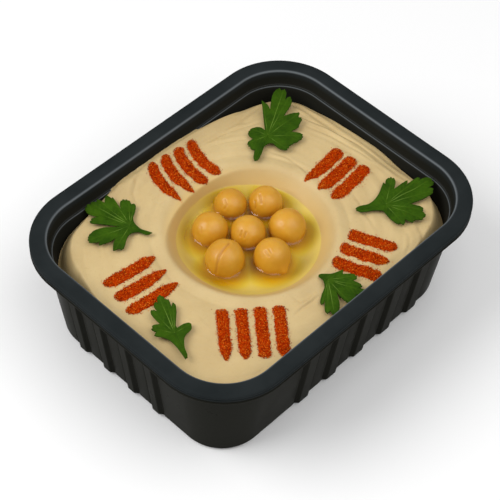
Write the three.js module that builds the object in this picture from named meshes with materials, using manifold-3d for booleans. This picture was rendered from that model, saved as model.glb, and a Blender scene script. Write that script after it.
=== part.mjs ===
// Hummus in a black plastic tray, with a well of oil and chickpeas, paprika stripes and parsley.
// Millimetres, +Z up. The origin is the centre of the tray's flat base, and X runs along the long side.
import * as THREE from 'three';
import Module from 'manifold-3d';
import { mergeVertices } from 'three/addons/utils/BufferGeometryUtils.js';

const wasm = await Module();
wasm.setup();

// Driving dimensions

const tray = {
  length: 137, // outside the rim
  width: 107.6,
  height: 45,
  cornerRadius: 25.6, // in plan, at the rim's outer edge
  baseInset: 10, // how far the wall's foot stands in from the rim's edge
  taper: 0.125, // how far the walls lean out for each millimetre of height
  footRadius: 2, // rounding between wall and base
  floorThickness: 1.2,
  skirtDrop: 4.2,
  skirtThickness: 1,
  flangeThickness: 1,
  rimInset: 6.1, // from the rim's outer edge to the inner wall at the top
  edgeRadius: 0.9,
  ledgeHeight: 38.3, // a small step round the inner wall
  ledgeWidth: 0.7,
};

const rib = { proud: 1, slope: 0.9, sink: 0.8, footHeight: 0.7, shoulderHeight: 4 };
const longSideRibs = { count: 5, pitch: 14, width: 6.2, middle: 8 };
const shortSideRibs = { count: 4, pitch: 12.2, width: 4.8, middle: 5.1 };

const clearance = 0.3; // between pieces that touch

const well = {
  x: -1.2,
  y: 0.6,
  poolRadius: 24.9, // at the oil's surface
  bulge: { angle: 148, spread: 26, by: 0.8 }, // the pool is wider on the left
  slope: 1.05,
  steep: { angle: 98, spread: 38, by: 1.5, dip: 1.4, dipReach: [27, 39] }, // the back wall, with a lower brink
  floor: 28,
  toeRounding: 2.5,
  brinkRounding: 0.9,
};
const oilLevel = 33;
const hummus = {
  crown: 37.9, // level of the middle of the surface
  edge: 37.2, // level at the wall
  shoulder: 20, // width of the roll down to the wall
  cornerDip: 5.2, // how much lower it lies in the deep corner
  cornerAngle: 38, // where that corner is, in degrees
  cornerSpread: [36, 20], // degrees before and after it
  lipRadius: 31.2,
  lipHeight: 0.45,
  lipWidth: 1.7,
  creaseRadius: 34.6,
  creaseDepth: 0.25,
  creaseWidth: 0.9,
  // degrees round the middle, spread and millimetres by which it stands back from the wall there
  cornerPulls: [[147, 17, 4.4], [-35, 16, 4], [38, 20, 2.4]],
  cornerFall: 1.9,
};

const chickpeas = [
  // place, radius, heading and tilt of the beak in degrees, depth of the crease
  { name: 'chickpea_middle', x: -0.8, y: 1.8, radius: 6.15, heading: 200, tilt: -40, crease: 0.25 },
  { name: 'chickpea_front_left', x: -15.1, y: -1.1, radius: 6.8, heading: 235, tilt: -20, crease: 0.7 },
  { name: 'chickpea_front_right', x: -2.6, y: -11.6, radius: 6.5, heading: 262, tilt: -12, crease: 0.3 },
  { name: 'chickpea_left', x: -9.3, y: 11.8, radius: 6.3, heading: 120, tilt: -45, crease: 0.2 },
  { name: 'chickpea_right', x: 10.7, y: -6, radius: 6.5, heading: 330, tilt: -50, crease: 0.2 },
  { name: 'chickpea_back_left', x: 4.3, y: 15.4, radius: 5.7, heading: 170, tilt: -35, crease: 0.5 },
  { name: 'chickpea_back_right', x: 13.6, y: 7.3, radius: 6, heading: 190, tilt: -30, crease: 0.6 },
];

const paprika = { height: 0.7, depth: 0.7, grain: 0.2, stations: 6, ragged: 0.3 };
const stripeGroups = [
  // middle of the group, step from one stripe to the next, heading in degrees, length, width, bow to one side
  { count: 4, middle: [1.8, 35.7], step: [-6, 0.4], heading: -98.8, length: 17.4, width: 4.1, bow: -1.3 },
  { count: 3, middle: [38.9, -2.8], step: [0.4, -6.1], heading: -175.2, length: 19.6, width: 4.8, bow: 0.5 },
  { count: 3, middle: [18.6, -34.7], step: [-6.5, -2.2], heading: -67.3, length: 16.8, width: 4.6, bow: -0.3 },
  { count: 4, middle: [-32.3, -31.2], step: [4.9, -4], heading: -130.5, length: 20, width: 4.1, bow: 0 },
  { count: 3, middle: [-44.6, 9.1], step: [-1.1, -6.7], heading: -8, length: 20, width: 4.6, bow: -0.5 },
];

// Each leaf opens round the point where its veins part. Its outline turns anticlockwise from the
// stalk's end, in millimetres from that point.
const leafThickness = 0.35;
const leaves = [
  {
    name: 'parsley_top', x: 33.7, y: 26, level: 39.6,
    outline: [
      [-12.2, -5.7], [-11.5, -6], [-5.3, -3.2], [-3.4, -3], [-2, -3.5], [-1.5, -4.3], [-1.7, -7.6],
      [-1.1, -9.1], [-0, -9.9], [1.9, -9.3], [8.5, -9.4], [9.5, -8.1], [7.4, -4.7], [11.9, -4.6],
      [11.9, -4.2], [14.8, -3], [15.1, -2.3], [14.7, -1.3], [16.4, -0.1], [15.2, 1], [11.1, 2.6],
      [17.9, 5.2], [19.9, 7.5], [19.8, 8.1], [17.7, 8.1], [20.3, 10.1], [21.4, 11.9], [20, 12.3],
      [20.2, 13.6], [17.3, 13.5], [10.1, 8.6], [11.2, 11.1], [11.1, 13.8], [1.1, 2.5], [0.9, 4.3],
      [-0.7, 6], [-1.9, 6.5], [-4.1, 5.9], [-4.8, 4.9], [-5, 2.5], [-7.4, 2.7], [-8.3, 2.1],
      [-9.1, -2.1], [-12.1, -4.9],
    ],
  },
  {
    name: 'parsley_right', x: 39.8, y: -25.2, level: 39.4,
    outline: [
      [-9.4, 5.7], [-9.7, 4.4], [-5, 0.6], [-3.2, -1.5], [-4, -5.9], [-3.7, -9.3], [-3.5, -9.7],
      [-2.9, -9.3], [-2.7, -10.7], [-2, -10.7], [-0.5, -9.6], [0.4, -12.2], [1.9, -12.1], [4.1, -13.8],
      [6.2, -13.1], [6.8, -11.2], [7.7, -10.9], [8.2, -9.9], [6.4, -6.1], [13, -8.1], [15.7, -8.1],
      [17.4, -7], [16.9, -5.6], [19, -5.7], [20.3, -4.2], [20, -2.4], [17.2, -1], [17.9, 0],
      [17.5, 0.3], [12.6, 0.9], [13.8, 1.8], [13.3, 2], [7.6, 2.6], [10.9, 5.1], [11, 6.7], [8.9, 7.5],
      [7.3, 6.6], [7, 7.2], [6.2, 6.9], [1.3, 4.6], [-1.4, 4], [-4, 4.2], [-7.6, 5.7],
    ],
  },
  {
    name: 'parsley_left', x: -30.5, y: 29.5, level: 39.3,
    outline: [
      [3.2, -7.7], [1.6, -3.1], [1.8, -0.4], [3, 1.6], [7.7, 5.4], [7.8, 6.1], [6.8, 6.6], [7.4, 8.3],
      [5.8, 10.4], [4.2, 9.6], [2.9, 7.8], [4.4, 13.1], [4.5, 13.7], [3.9, 13.5], [3.6, 15.8],
      [2.4, 15.3], [0.7, 13.6], [0, 16.8], [-0.9, 16], [-2.8, 17.1], [-5.9, 16.4], [-6.7, 13.9],
      [-5.3, 10.5], [-7.6, 11.4], [-8.9, 10.5], [-8, 8.8], [-2.2, 1.7], [-9.2, 6.6], [-11, 6.9],
      [-13.9, 6], [-15.1, 4.6], [-14.9, 3.7], [-12.8, 1.8], [-13.6, 0.7], [-10.1, -0.6], [-7.5, -0.8],
      [-9.6, -2], [-11.9, -4.3], [-9.8, -4.8], [-9.5, -5.9], [-3.7, -3.2], [-1.9, -3.1], [0.2, -4.2],
      [1.6, -7.3],
    ],
  },
  {
    name: 'parsley_bottom_left', x: -51.7, y: -14.6, level: 39.8,
    outline: [
      [-5, -10.1], [-3.9, -9.9], [-1.7, -6.3], [0.8, -3.7], [2.4, -3], [5.1, -2.5], [6.3, -1.3],
      [6.6, -0.5], [4.9, 0.6], [2.1, 1.1], [2.6, 2.3], [7.8, 7.5], [8.5, 8.7], [8.4, 9.7], [6.9, 8.9],
      [8.2, 11.5], [8.2, 12.1], [7.4, 12.3], [7.6, 13.9], [7, 14.8], [6.4, 14.9], [4.8, 13.3],
      [4.1, 13.7], [2.9, 13.1], [1.9, 10.5], [1.3, 12.1], [0.1, 11.7], [-0.6, 9.5], [-0.9, 6.1],
      [-3, 7.3], [-4.2, 6.8], [-4.5, 6], [-4.1, 4.4], [-5.5, 3.9], [-5.4, 3.2], [-4.2, 1.4],
      [-3.3, -0.9], [-3.3, -3.4],
    ],
  },
  {
    name: 'parsley_bottom_right', x: 0.8, y: -34, level: 39.2,
    outline: [
      [-1.3, 3.2], [-1.3, 1.4], [-2.3, -0.4], [-3.3, -1.4], [-9.1, -4.9], [-9.3, -5.5], [-8.9, -5.8],
      [-7.3, -5.3], [-10.7, -8.7], [-10.8, -9.6], [-9.3, -9.7], [-9.8, -11], [-9.6, -11.7], [-8.8, -12],
      [-7.5, -11.6], [-5.1, -10], [-1.9, -5.6], [-2.6, -10.7], [-2, -12.3], [0.5, -12], [1.8, -11.4],
      [3.4, -12.1], [5.7, -12], [5, -9.6], [6.3, -9.9], [6.6, -9.2], [5.6, -6.2], [6.9, -6.6],
      [8, -5.6], [7.9, -4.8], [5.3, -1.8], [7.1, -0.6], [2.4, 1], [-0.6, 3.5],
    ],
  },
];

// Small helpers

const turn = 2 * Math.PI;
const radians = (degrees) => (degrees * Math.PI) / 180;
const bump = (distance, width) => Math.exp(-((distance / width) ** 2));
const mix = (a, b, share) => a + (b - a) * share;
const clamp01 = (value) => Math.min(Math.max(value, 0), 1);

function smoothStep(low, high, value) {
  const share = clamp01((value - low) / (high - low));
  return share * share * (3 - 2 * share);
}

function softMin(a, b, rounding) {
  const share = Math.max(rounding - Math.abs(a - b), 0) / rounding;
  return Math.min(a, b) - (share * share * rounding) / 4;
}

const softMax = (a, b, rounding) => -softMin(-a, -b, rounding);

function seededDraw(seed) {
  let state = seed;
  return () => {
    state = (state * 1664525 + 1013904223) % 4294967296;
    return state / 4294967296;
  };
}

// Joins rings of equal length, lowest first and anticlockwise from above, into one closed body.
// The first and last rings are closed by fans round the given points.
function loftGeometry(rings, startPoint, endPoint) {
  const count = rings[0].length;
  const points = [startPoint, ...rings.flat(), endPoint];
  const last = points.length - 1;
  const faces = [];
  const at = (ring, step) => 1 + ring * count + (step % count);
  for (let step = 0; step < count; step += 1) {
    faces.push(0, at(0, step + 1), at(0, step));
    faces.push(last, at(rings.length - 1, step), at(rings.length - 1, step + 1));
    for (let ring = 0; ring + 1 < rings.length; ring += 1) {
      const corners = [at(ring, step), at(ring, step + 1), at(ring + 1, step + 1), at(ring + 1, step)];
      faces.push(corners[0], corners[1], corners[2], corners[0], corners[2], corners[3]);
    }
  }
  const geometry = new THREE.BufferGeometry();
  geometry.setAttribute('position', new THREE.Float32BufferAttribute(points.flat(), 3));
  geometry.setIndex(faces);
  return geometry;
}

function toSolid(geometry) {
  const bare = geometry.clone();
  bare.deleteAttribute('normal');
  bare.deleteAttribute('uv');
  const merged = mergeVertices(bare, 1e-4);
  return new wasm.Manifold(new wasm.Mesh({
    numProp: 3,
    vertProperties: new Float32Array(merged.attributes.position.array),
    triVerts: new Uint32Array(merged.index.array),
  }));
}

function toGeometry(solid) {
  const mesh = solid.getMesh();
  const geometry = new THREE.BufferGeometry();
  geometry.setAttribute('position', new THREE.BufferAttribute(mesh.vertProperties, 3));
  geometry.setIndex(new THREE.BufferAttribute(mesh.triVerts, 1));
  return geometry;
}

function namedMesh(name, geometry, material) {
  geometry.computeVertexNormals();
  const mesh = new THREE.Mesh(geometry, material);
  mesh.name = name;
  return mesh;
}

// Tray

const halfLength = tray.length / 2;
const halfWidth = tray.width / 2;
const outerInset = (z) => tray.baseInset - tray.taper * z;

function innerInset(z) {
  const step = z < tray.ledgeHeight ? tray.ledgeWidth : 0;
  return tray.rimInset + tray.taper * (tray.height - z) + step;
}

// The rounded rectangle that stands a given distance in from the rim's outer edge
function roundedOutline(inset, cornerSteps, sideSteps) {
  const radius = tray.cornerRadius - inset;
  const acrossX = halfLength - tray.cornerRadius;
  const acrossY = halfWidth - tray.cornerRadius;
  const corners = [[acrossX, acrossY], [-acrossX, acrossY], [-acrossX, -acrossY], [acrossX, -acrossY]];
  const outline = [];
  corners.forEach(([x, y], index) => {
    for (let step = 0; step <= cornerSteps; step += 1) {
      const angle = (index + step / cornerSteps) * (Math.PI / 2);
      outline.push([x + radius * Math.cos(angle), y + radius * Math.sin(angle)]);
    }
    const next = corners[(index + 1) % 4];
    const angle = (index + 1) * (Math.PI / 2);
    for (let step = 1; step < sideSteps[index % 2]; step += 1) {
      const share = step / sideSteps[index % 2];
      outline.push([
        mix(x, next[0], share) + radius * Math.cos(angle),
        mix(y, next[1], share) + radius * Math.sin(angle),
      ]);
    }
  });
  return outline;
}

const trayCornerSteps = 9;

function trayRing(inset, z) {
  return roundedOutline(inset, trayCornerSteps, [1, 1]).map(([x, y]) => [x, y, z]);
}

// The section of the wall, from the middle of the base out, over the rim and back to the floor
function traySection() {
  const { height, edgeRadius, skirtDrop, skirtThickness, flangeThickness, footRadius } = tray;
  const foot = height - skirtDrop;
  const section = [];
  for (const angle of [90, 60, 30, 0]) {
    const reach = footRadius * (1 - Math.cos(radians(angle)));
    const rise = footRadius * (1 - Math.sin(radians(angle)));
    section.push([outerInset(footRadius) + reach, rise]);
  }
  section.push([outerInset(height - flangeThickness), height - flangeThickness]);
  section.push([skirtThickness + 0.2, height - flangeThickness], [skirtThickness, foot + 0.1]);
  section.push([0.7, foot], [0.1, foot], [0, foot + 0.3]);
  // two beads with a groove between them run round the skirt
  section.push([0, foot + 0.9], [0.45, foot + 1.2], [0.1, foot + 1.6], [0.1, foot + 2.4], [0.4, foot + 2.7]);
  section.push([0.1, foot + 3], [0.15, height - edgeRadius * 0.55], [edgeRadius * 0.5, height - 0.12]);
  section.push([edgeRadius, height], [tray.rimInset - 1.1, height]);
  section.push([tray.rimInset - 0.45, height - 0.2], [tray.rimInset, height - 0.9]);
  section.push([innerInset(tray.ledgeHeight), tray.ledgeHeight + 0.2]);
  section.push([innerInset(tray.ledgeHeight - 0.6), tray.ledgeHeight - 0.6]);
  for (const angle of [0, 45, 90]) {
    const reach = footRadius * (1 - Math.cos(radians(angle)));
    const rise = footRadius * (1 - Math.sin(radians(angle)));
    const z = tray.floorThickness + footRadius;
    section.push([innerInset(z) + reach, tray.floorThickness + rise]);
  }
  return section;
}

// One rib runs down a wall: a raised band with sloping sides that follows the wall round its foot
function ribSolid(alongLongSide, side, middle, width) {
  const half = alongLongSide ? halfWidth : halfLength;
  const top = tray.height - tray.flangeThickness + 0.3;
  const levels = [rib.footHeight, tray.footRadius, rib.shoulderHeight, top];
  const rings = levels.map((z, index) => {
    const footRise = Math.max(tray.footRadius - z, 0);
    const wall = outerInset(z) + footRise * 0.6;
    const proud = index === 0 ? rib.proud * 0.8 : rib.proud;
    const section = [
      [-width / 2 - rib.sink, wall + rib.sink], [-width / 2 + rib.slope, wall - proud],
      [width / 2 - rib.slope, wall - proud], [width / 2 + rib.sink, wall + rib.sink],
    ];
    return section.map(([along, inset]) => {
      const out = half - inset;
      const placed = alongLongSide ? [middle + along, -out] : [out, middle + along];
      return [placed[0] * side, placed[1] * side, z];
    });
  });
  const middleOf = (ring) => [0, 1, 2].map((axis) => ring.reduce((sum, point) => sum + point[axis], 0) / 4);
  return toSolid(loftGeometry(rings, middleOf(rings[0]), middleOf(rings.at(-1))));
}

function trayGeometry() {
  const rings = traySection().map(([inset, z]) => trayRing(inset, z));
  const shell = toSolid(loftGeometry(rings, [0, 0, 0], [0, 0, tray.floorThickness]));
  const ribs = [];
  for (const side of [1, -1]) {
    for (const [isLong, row] of [[true, longSideRibs], [false, shortSideRibs]]) {
      for (let index = 0; index < row.count; index += 1) {
        const offset = (index - (row.count - 1) / 2) * row.pitch;
        const middle = isLong ? row.middle + offset : -(row.middle + offset);
        ribs.push(ribSolid(isLong, side, middle, row.width));
      }
    }
  }
  return toGeometry(wasm.Manifold.union([shell, ...ribs]));
}

// Surface of the hummus

function wallDistance(x, y) {
  const inset = innerInset(hummus.edge);
  const acrossX = Math.abs(x) - (halfLength - tray.cornerRadius);
  const acrossY = Math.abs(y) - (halfWidth - tray.cornerRadius);
  const beyond = Math.hypot(Math.max(acrossX, 0), Math.max(acrossY, 0));
  const outside = beyond + Math.min(Math.max(acrossX, acrossY), 0);
  return tray.cornerRadius - inset - outside;
}

function edgeLevel(x, y) {
  const offset = Math.atan2(y, x) - radians(hummus.cornerAngle);
  const wrapped = offset - turn * Math.round(offset / turn);
  const spread = radians(hummus.cornerSpread[wrapped < 0 ? 0 : 1]);
  return hummus.edge - hummus.cornerDip * bump(wrapped, spread);
}

// In three corners the surface stands back from the wall and falls steeply beside it
function cornerPull(x, y) {
  return hummus.cornerPulls.reduce((sum, [angle, spread, pull]) => {
    const offset = Math.atan2(y, x) - radians(angle);
    return sum + pull * bump(offset - turn * Math.round(offset / turn), radians(spread));
  }, 0.01);
}

function cornerFall(x, y, distance) {
  const pull = cornerPull(x, y);
  return hummus.cornerFall * pull * (1 - smoothStep(0.2 * pull, 1.45 * pull, distance));
}

// Strokes of the spatula: rings round the well, terraces down to the far walls, and slow swells
function strokes(x, y, reach, distance) {
  const angle = wellAngle(x, y);
  const rings = 0.24 * smoothStep(35, 40, reach) * (0.6 + 0.4 * Math.cos(angle + 0.2));
  const terraces = 0.28 * bump(angle - 0.4, 1.1) * bump(distance - 4.5, 4);
  const swells = 0.3 * smoothStep(33, 40, reach);
  return rings * Math.cos(reach * 1.02 + 0.9 * Math.sin(2 * angle + 0.5))
    + terraces * Math.sin(distance * 1.9 + 0.5 * Math.sin(3 * angle))
    + swells * Math.sin(0.105 * x + 0.05 * y + 0.7) * Math.cos(0.12 * y - 0.04 * x + 0.3);
}

function hummusTop(x, y) {
  const reach = Math.hypot(x - well.x, y - well.y);
  const distance = Math.max(wallDistance(x, y), 0);
  const edge = edgeLevel(x, y);
  const roll = Math.min(Math.max(distance - 0.5 * cornerPull(x, y), 0) / hummus.shoulder, 1);
  let level = mix(edge, hummus.crown, Math.sqrt(1 - (1 - roll) ** 2)) - cornerFall(x, y, distance);
  level += strokes(x, y, reach, distance) * smoothStep(0, 1.5, distance);
  level += hummus.lipHeight * bump(reach - hummus.lipRadius, hummus.lipWidth);
  level -= hummus.creaseDepth * bump(reach - hummus.creaseRadius, hummus.creaseWidth);
  level -= well.steep.dip * near(well.steep, wellAngle(x, y)) * (1 - smoothStep(...well.steep.dipReach, reach));
  return softMin(level, wellLevel(reach, wellAngle(x, y)), well.brinkRounding);
}

// The well: an uneven round hollow, whose wall is steepest at the back

function wellAngle(x, y) {
  return Math.atan2(y - well.y, x - well.x);
}

function near({ angle, spread }, direction) {
  const offset = direction - radians(angle);
  return bump(offset - turn * Math.round(offset / turn), radians(spread));
}

function poolReach(angle) {
  return well.poolRadius + well.bulge.by * near(well.bulge, angle);
}

function wellLevel(reach, angle) {
  const slope = well.slope + well.steep.by * near(well.steep, angle);
  return softMax(well.floor, oilLevel + (reach - poolReach(angle)) * slope, well.toeRounding);
}

// Hummus: filled up to the surface, a hair clear of the tray all round

const wellRings = [12, 20, 22.6, 25, 26.8, 28.6, 30.4, 32.8, 36];
const cornerSteps = 7;
const sideSteps = [10, 8];
const wallShares = [0.1, 0.2, 0.3, 0.4, 0.5, 0.6, 0.69, 0.77, 0.84, 0.9, 0.95, 0.985, 1];

function hummusGeometry() {
  const top = [];
  const ringAt = (inset, z) => roundedOutline(inset + clearance, cornerSteps, sideSteps)
    .map(([x, y]) => [x, y, z]);
  const outline = ringAt(innerInset(hummus.edge), 0);
  const edges = outline.map(([x, y]) => {
    const level = Math.min(edgeLevel(x, y) - cornerFall(x, y, 0), tray.ledgeHeight - 0.9);
    const scale = innerInset(level) - innerInset(hummus.edge);
    const norm = Math.hypot(x, y);
    return [x - (x / norm) * scale, y - (y / norm) * scale, level];
  });
  const onSurface = (x, y) => [x, y, hummusTop(x, y)];
  const rayPoint = ([x, y], reach) => {
    const norm = Math.hypot(x - well.x, y - well.y);
    return [well.x + ((x - well.x) * reach) / norm, well.y + ((y - well.y) * reach) / norm];
  };
  for (const share of wallShares.slice().reverse()) {
    top.push(edges.map((edge) => {
      const start = rayPoint(edge, wellRings.at(-1));
      const x = mix(start[0], edge[0], share);
      const y = mix(start[1], edge[1], share);
      return share === 1 ? edge : onSurface(x, y);
    }));
  }
  for (const reach of wellRings.slice().reverse()) {
    top.push(edges.map((edge) => onSurface(...rayPoint(edge, reach))));
  }
  const bottom = tray.floorThickness + clearance;
  const foot = bottom + tray.footRadius;
  const sides = [
    ringAt(innerInset(foot) + tray.footRadius, bottom),
    ringAt(innerInset(foot) + tray.footRadius * 0.3, bottom + tray.footRadius * 0.3),
    ringAt(innerInset(foot), foot),
  ];
  return loftGeometry([...sides, ...top], [0, 0, bottom], onSurface(well.x, well.y));
}

// Paprika: stripes of powder that lie on the hummus as low ridges with a grainy top

function stripeSolid(centre, group, draw) {
  const along = [Math.cos(radians(group.heading)), Math.sin(radians(group.heading))];
  const across = [-along[1], along[0]];
  const lows = [];
  const highs = [];
  for (let station = 0; station <= paprika.stations; station += 1) {
    const share = station / paprika.stations;
    const taper = Math.sin(Math.PI * (0.1 + 0.8 * share)) ** 0.6;
    const width = (group.width / 2) * taper * (0.9 + 0.2 * draw());
    const drift = (draw() - 0.5) * paprika.ragged + group.bow * (1 - (2 * share - 1) ** 2);
    const run = (share - 0.5) * group.length;
    for (const side of [-1, 0, 1]) {
      const offset = drift + side * width * (0.9 + 0.2 * draw());
      const x = centre[0] + along[0] * run + across[0] * offset;
      const y = centre[1] + along[1] * run + across[1] * offset;
      const level = hummusTop(x, y);
      const isEnd = station === 0 || station === paprika.stations;
      const crest = isEnd ? 0.4 : 1;
      const rise = side === 0 ? paprika.height * crest + (draw() - 0.5) * paprika.grain * 2 : 0.12;
      highs.push([x, y, level + rise]);
      lows.push([x, y, level - paprika.depth]);
    }
  }
  return stripMesh(highs, lows, paprika.stations, 2);
}

// A closed slab between two like grids of points, the upper and the lower
function stripMesh(highs, lows, rows, columns) {
  const stride = columns + 1;
  const half = highs.length;
  const faces = [];
  const wall = (a, b) => faces.push(a, b, b + half, a, b + half, a + half);
  for (let row = 0; row < rows; row += 1) {
    for (let column = 0; column < columns; column += 1) {
      const a = row * stride + column;
      const [b, c, d] = [a + stride, a + stride + 1, a + 1];
      faces.push(a, b, c, a, c, d);
      faces.push(a + half, c + half, b + half, a + half, d + half, c + half);
    }
    wall((row + 1) * stride, row * stride);
    wall(row * stride + columns, (row + 1) * stride + columns);
  }
  for (let column = 0; column < columns; column += 1) {
    wall(column, column + 1);
    wall(rows * stride + column + 1, rows * stride + column);
  }
  const geometry = new THREE.BufferGeometry();
  geometry.setAttribute('position', new THREE.Float32BufferAttribute([...highs, ...lows].flat(), 3));
  geometry.setIndex(faces);
  return toSolid(geometry);
}

function hummusWithPaprika() {
  const draw = seededDraw(17);
  const stripes = [];
  for (const group of stripeGroups) {
    for (let index = 0; index < group.count; index += 1) {
      const offset = index - (group.count - 1) / 2;
      const x = group.middle[0] + group.step[0] * offset;
      const y = group.middle[1] + group.step[1] * offset;
      stripes.push(stripeSolid([x, y], group, draw));
    }
  }
  return toGeometry(wasm.Manifold.union([toSolid(hummusGeometry()), ...stripes]));
}

// Chickpeas: round, with a small beak and a crease that runs up to it

const chickpeaLift = 0.4; // above the well's floor
const beakLength = 0.1; // as a share of the radius
const oilPeaSegments = [10, 8];
const peaSegments = [12, 9];

function chickpeaGeometry(pea, growth, segments) {
  const geometry = new THREE.SphereGeometry(1, ...segments);
  const tilt = radians(pea.tilt);
  const heading = radians(pea.heading);
  const beak = new THREE.Vector3(
    Math.cos(heading) * Math.cos(tilt), Math.sin(heading) * Math.cos(tilt), Math.sin(tilt),
  );
  const sideways = new THREE.Vector3(-Math.sin(heading), Math.cos(heading), 0);
  const places = geometry.attributes.position;
  const point = new THREE.Vector3();
  for (let index = 0; index < places.count; index += 1) {
    point.fromBufferAttribute(places, index);
    const toBeak = Math.acos(Math.min(Math.max(point.dot(beak), -1), 1));
    const tip = beakLength * bump(toBeak, 0.38);
    const groove = (pea.crease / pea.radius) * bump(point.dot(sideways), 0.2) * bump(toBeak - 0.9, 0.75);
    point.multiplyScalar(pea.radius * (1 + tip - groove) + growth);
    places.setXYZ(index, point.x, point.y, point.z);
  }
  geometry.translate(pea.x, pea.y, well.floor + chickpeaLift + pea.radius);
  return toGeometry(toSolid(geometry));
}

// Oil: fills the well up to its level, cut round the chickpeas

const hollowGrowth = 0.75; // how much wider than its chickpea each hollow is

function oilGeometry() {
  const corners = [[0, well.floor + clearance], [16, 0], [20, 0], [well.poolRadius, oilLevel], [0, oilLevel]];
  const profile = corners.map(([reach, z]) => new THREE.Vector2(reach, z));
  const geometry = new THREE.LatheGeometry(profile, 36);
  geometry.rotateX(Math.PI / 2);
  const places = geometry.attributes.position;
  for (let index = 0; index < places.count; index += 1) {
    const [x, y, z] = [places.getX(index), places.getY(index), places.getZ(index)];
    const reach = Math.hypot(x, y);
    const angle = Math.atan2(y, x);
    const brim = reach > 21 ? (poolReach(angle) - clearance) / reach : 1;
    const level = reach > 1 && reach < 21 ? wellLevel(reach, angle) + clearance : z;
    places.setXYZ(index, x * brim, y * brim, level);
  }
  geometry.translate(well.x, well.y, 0);
  const peas = chickpeas.map((pea) => toSolid(chickpeaGeometry(pea, hollowGrowth, oilPeaSegments)));
  const pool = wasm.Manifold.difference([toSolid(geometry), ...peas]);
  return toGeometry(largestPiece(pool));
}

function largestPiece(solid) {
  return solid.decompose().reduce((best, piece) => (piece.volume() > best.volume() ? piece : best));
}

// Parsley: thin wavy blades whose upper and lower faces are split alike

const leafRings = [0.45, 0.8, 1];

function leafLevel(leaf, u, v) {
  const x = leaf.x + u;
  const y = leaf.y + v;
  const wave = 0.22 * Math.sin(0.55 * u + 0.9) * Math.cos(0.5 * v - leaf.x);
  const lowest = hummusTop(x, y) + clearance + leafThickness / 2 + 0.25;
  return softMax(leaf.level + wave, lowest, 0.5);
}

function leafGeometry(leaf) {
  const faceRing = (share, offset) => leaf.outline.map(([u, v]) => {
    const [shareU, shareV] = [u * share, v * share];
    return [leaf.x + shareU, leaf.y + shareV, leafLevel(leaf, shareU, shareV) + offset];
  });
  const half = leafThickness / 2;
  const lower = leafRings.map((share) => faceRing(share, -half));
  const upper = leafRings.slice().reverse().map((share) => faceRing(share, half));
  const middle = leafLevel(leaf, 0, 0);
  const start = [leaf.x, leaf.y, middle - half];
  return loftGeometry([...lower, ...upper], start, [leaf.x, leaf.y, middle + half]);
}

// Finishes

const finishes = {
  tray: new THREE.MeshStandardMaterial({ color: 0x1c1f20, roughness: 0.42, metalness: 0 }),
  hummus: new THREE.MeshStandardMaterial({ color: 0xd8c298, roughness: 0.55, metalness: 0 }),
  oil: new THREE.MeshStandardMaterial({ color: 0xc2a020, roughness: 0.08, metalness: 0 }),
  chickpea: new THREE.MeshStandardMaterial({ color: 0xd9a253, roughness: 0.4, metalness: 0 }),
  parsley: new THREE.MeshStandardMaterial({ color: 0x2c5a14, roughness: 0.5, metalness: 0 }),
};

// Assembly

const dish = new THREE.Group();
dish.add(namedMesh('tray', trayGeometry(), finishes.tray));
dish.add(namedMesh('hummus', hummusWithPaprika(), finishes.hummus));
dish.add(namedMesh('oil', oilGeometry(), finishes.oil));
for (const pea of chickpeas) {
  dish.add(namedMesh(pea.name, chickpeaGeometry(pea, 0, peaSegments), finishes.chickpea));
}
for (const leaf of leaves) {
  dish.add(namedMesh(leaf.name, leafGeometry(leaf), finishes.parsley));
}

export default dish;
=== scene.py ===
import math
import random

import bmesh
import bpy
import numpy as np
from mathutils import Matrix, Vector, noise


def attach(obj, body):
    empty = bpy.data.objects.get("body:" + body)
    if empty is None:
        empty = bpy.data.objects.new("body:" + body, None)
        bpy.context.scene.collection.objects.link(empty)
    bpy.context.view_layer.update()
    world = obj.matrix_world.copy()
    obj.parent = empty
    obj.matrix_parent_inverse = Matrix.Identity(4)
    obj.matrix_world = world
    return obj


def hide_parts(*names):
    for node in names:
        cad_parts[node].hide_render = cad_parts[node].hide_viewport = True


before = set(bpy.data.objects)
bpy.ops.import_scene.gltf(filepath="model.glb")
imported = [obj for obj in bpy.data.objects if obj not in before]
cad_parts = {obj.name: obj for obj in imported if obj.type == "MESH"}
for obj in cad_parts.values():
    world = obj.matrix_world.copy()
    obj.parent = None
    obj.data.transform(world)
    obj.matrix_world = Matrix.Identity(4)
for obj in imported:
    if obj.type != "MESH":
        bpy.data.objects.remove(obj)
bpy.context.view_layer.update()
print("stage: frame loaded")

# All sizes below are in millimetres and angles in degrees, as a maker would note them down
mm = 0.001


# small helpers

def unselect():
    if bpy.context.object and bpy.context.object.mode != 'OBJECT':
        bpy.ops.object.mode_set(mode='OBJECT')
    bpy.ops.object.select_all(action='DESELECT')


def smoothStep(low, high, value):
    share = np.clip((value - low) / (high - low), 0, 1)
    return share * share * (3 - 2 * share)


def bump(distance, width):
    return np.exp(-(distance / width) ** 2)


def mix(a, b, share):
    return a + (b - a) * share


def softMin(a, b, rounding):
    share = np.maximum(rounding - np.abs(a - b), 0) / rounding
    return np.minimum(a, b) - share * share * rounding / 4


def softMax(a, b, rounding):
    return -softMin(-a, -b, rounding)


def smoothNoise(x, y, size, seed=0):  # flat noise, from -1 to 1, with blobs of about that size
    flat = zip(np.ravel(x) / size, np.ravel(y) / size)
    values = [noise.noise((a, b, seed * 7.31)) for a, b in flat]
    return np.reshape(values, np.shape(x))


def arc(centre, radii, start, end, steps):
    points = []
    for step in range(steps + 1):
        angle = math.radians(mix(start, end, step / steps))
        points.append((centre[0] + radii[0] * math.cos(angle), centre[1] + radii[1] * math.sin(angle)))
    return points


def linear(red, green, blue):  # a colour read from 0 to 255, as the shader wants it
    shares = (red / 255, green / 255, blue / 255)
    return tuple(c / 12.92 if c <= 0.04 else ((c + 0.055) / 1.055) ** 2.4 for c in shares) + (1,)


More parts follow.
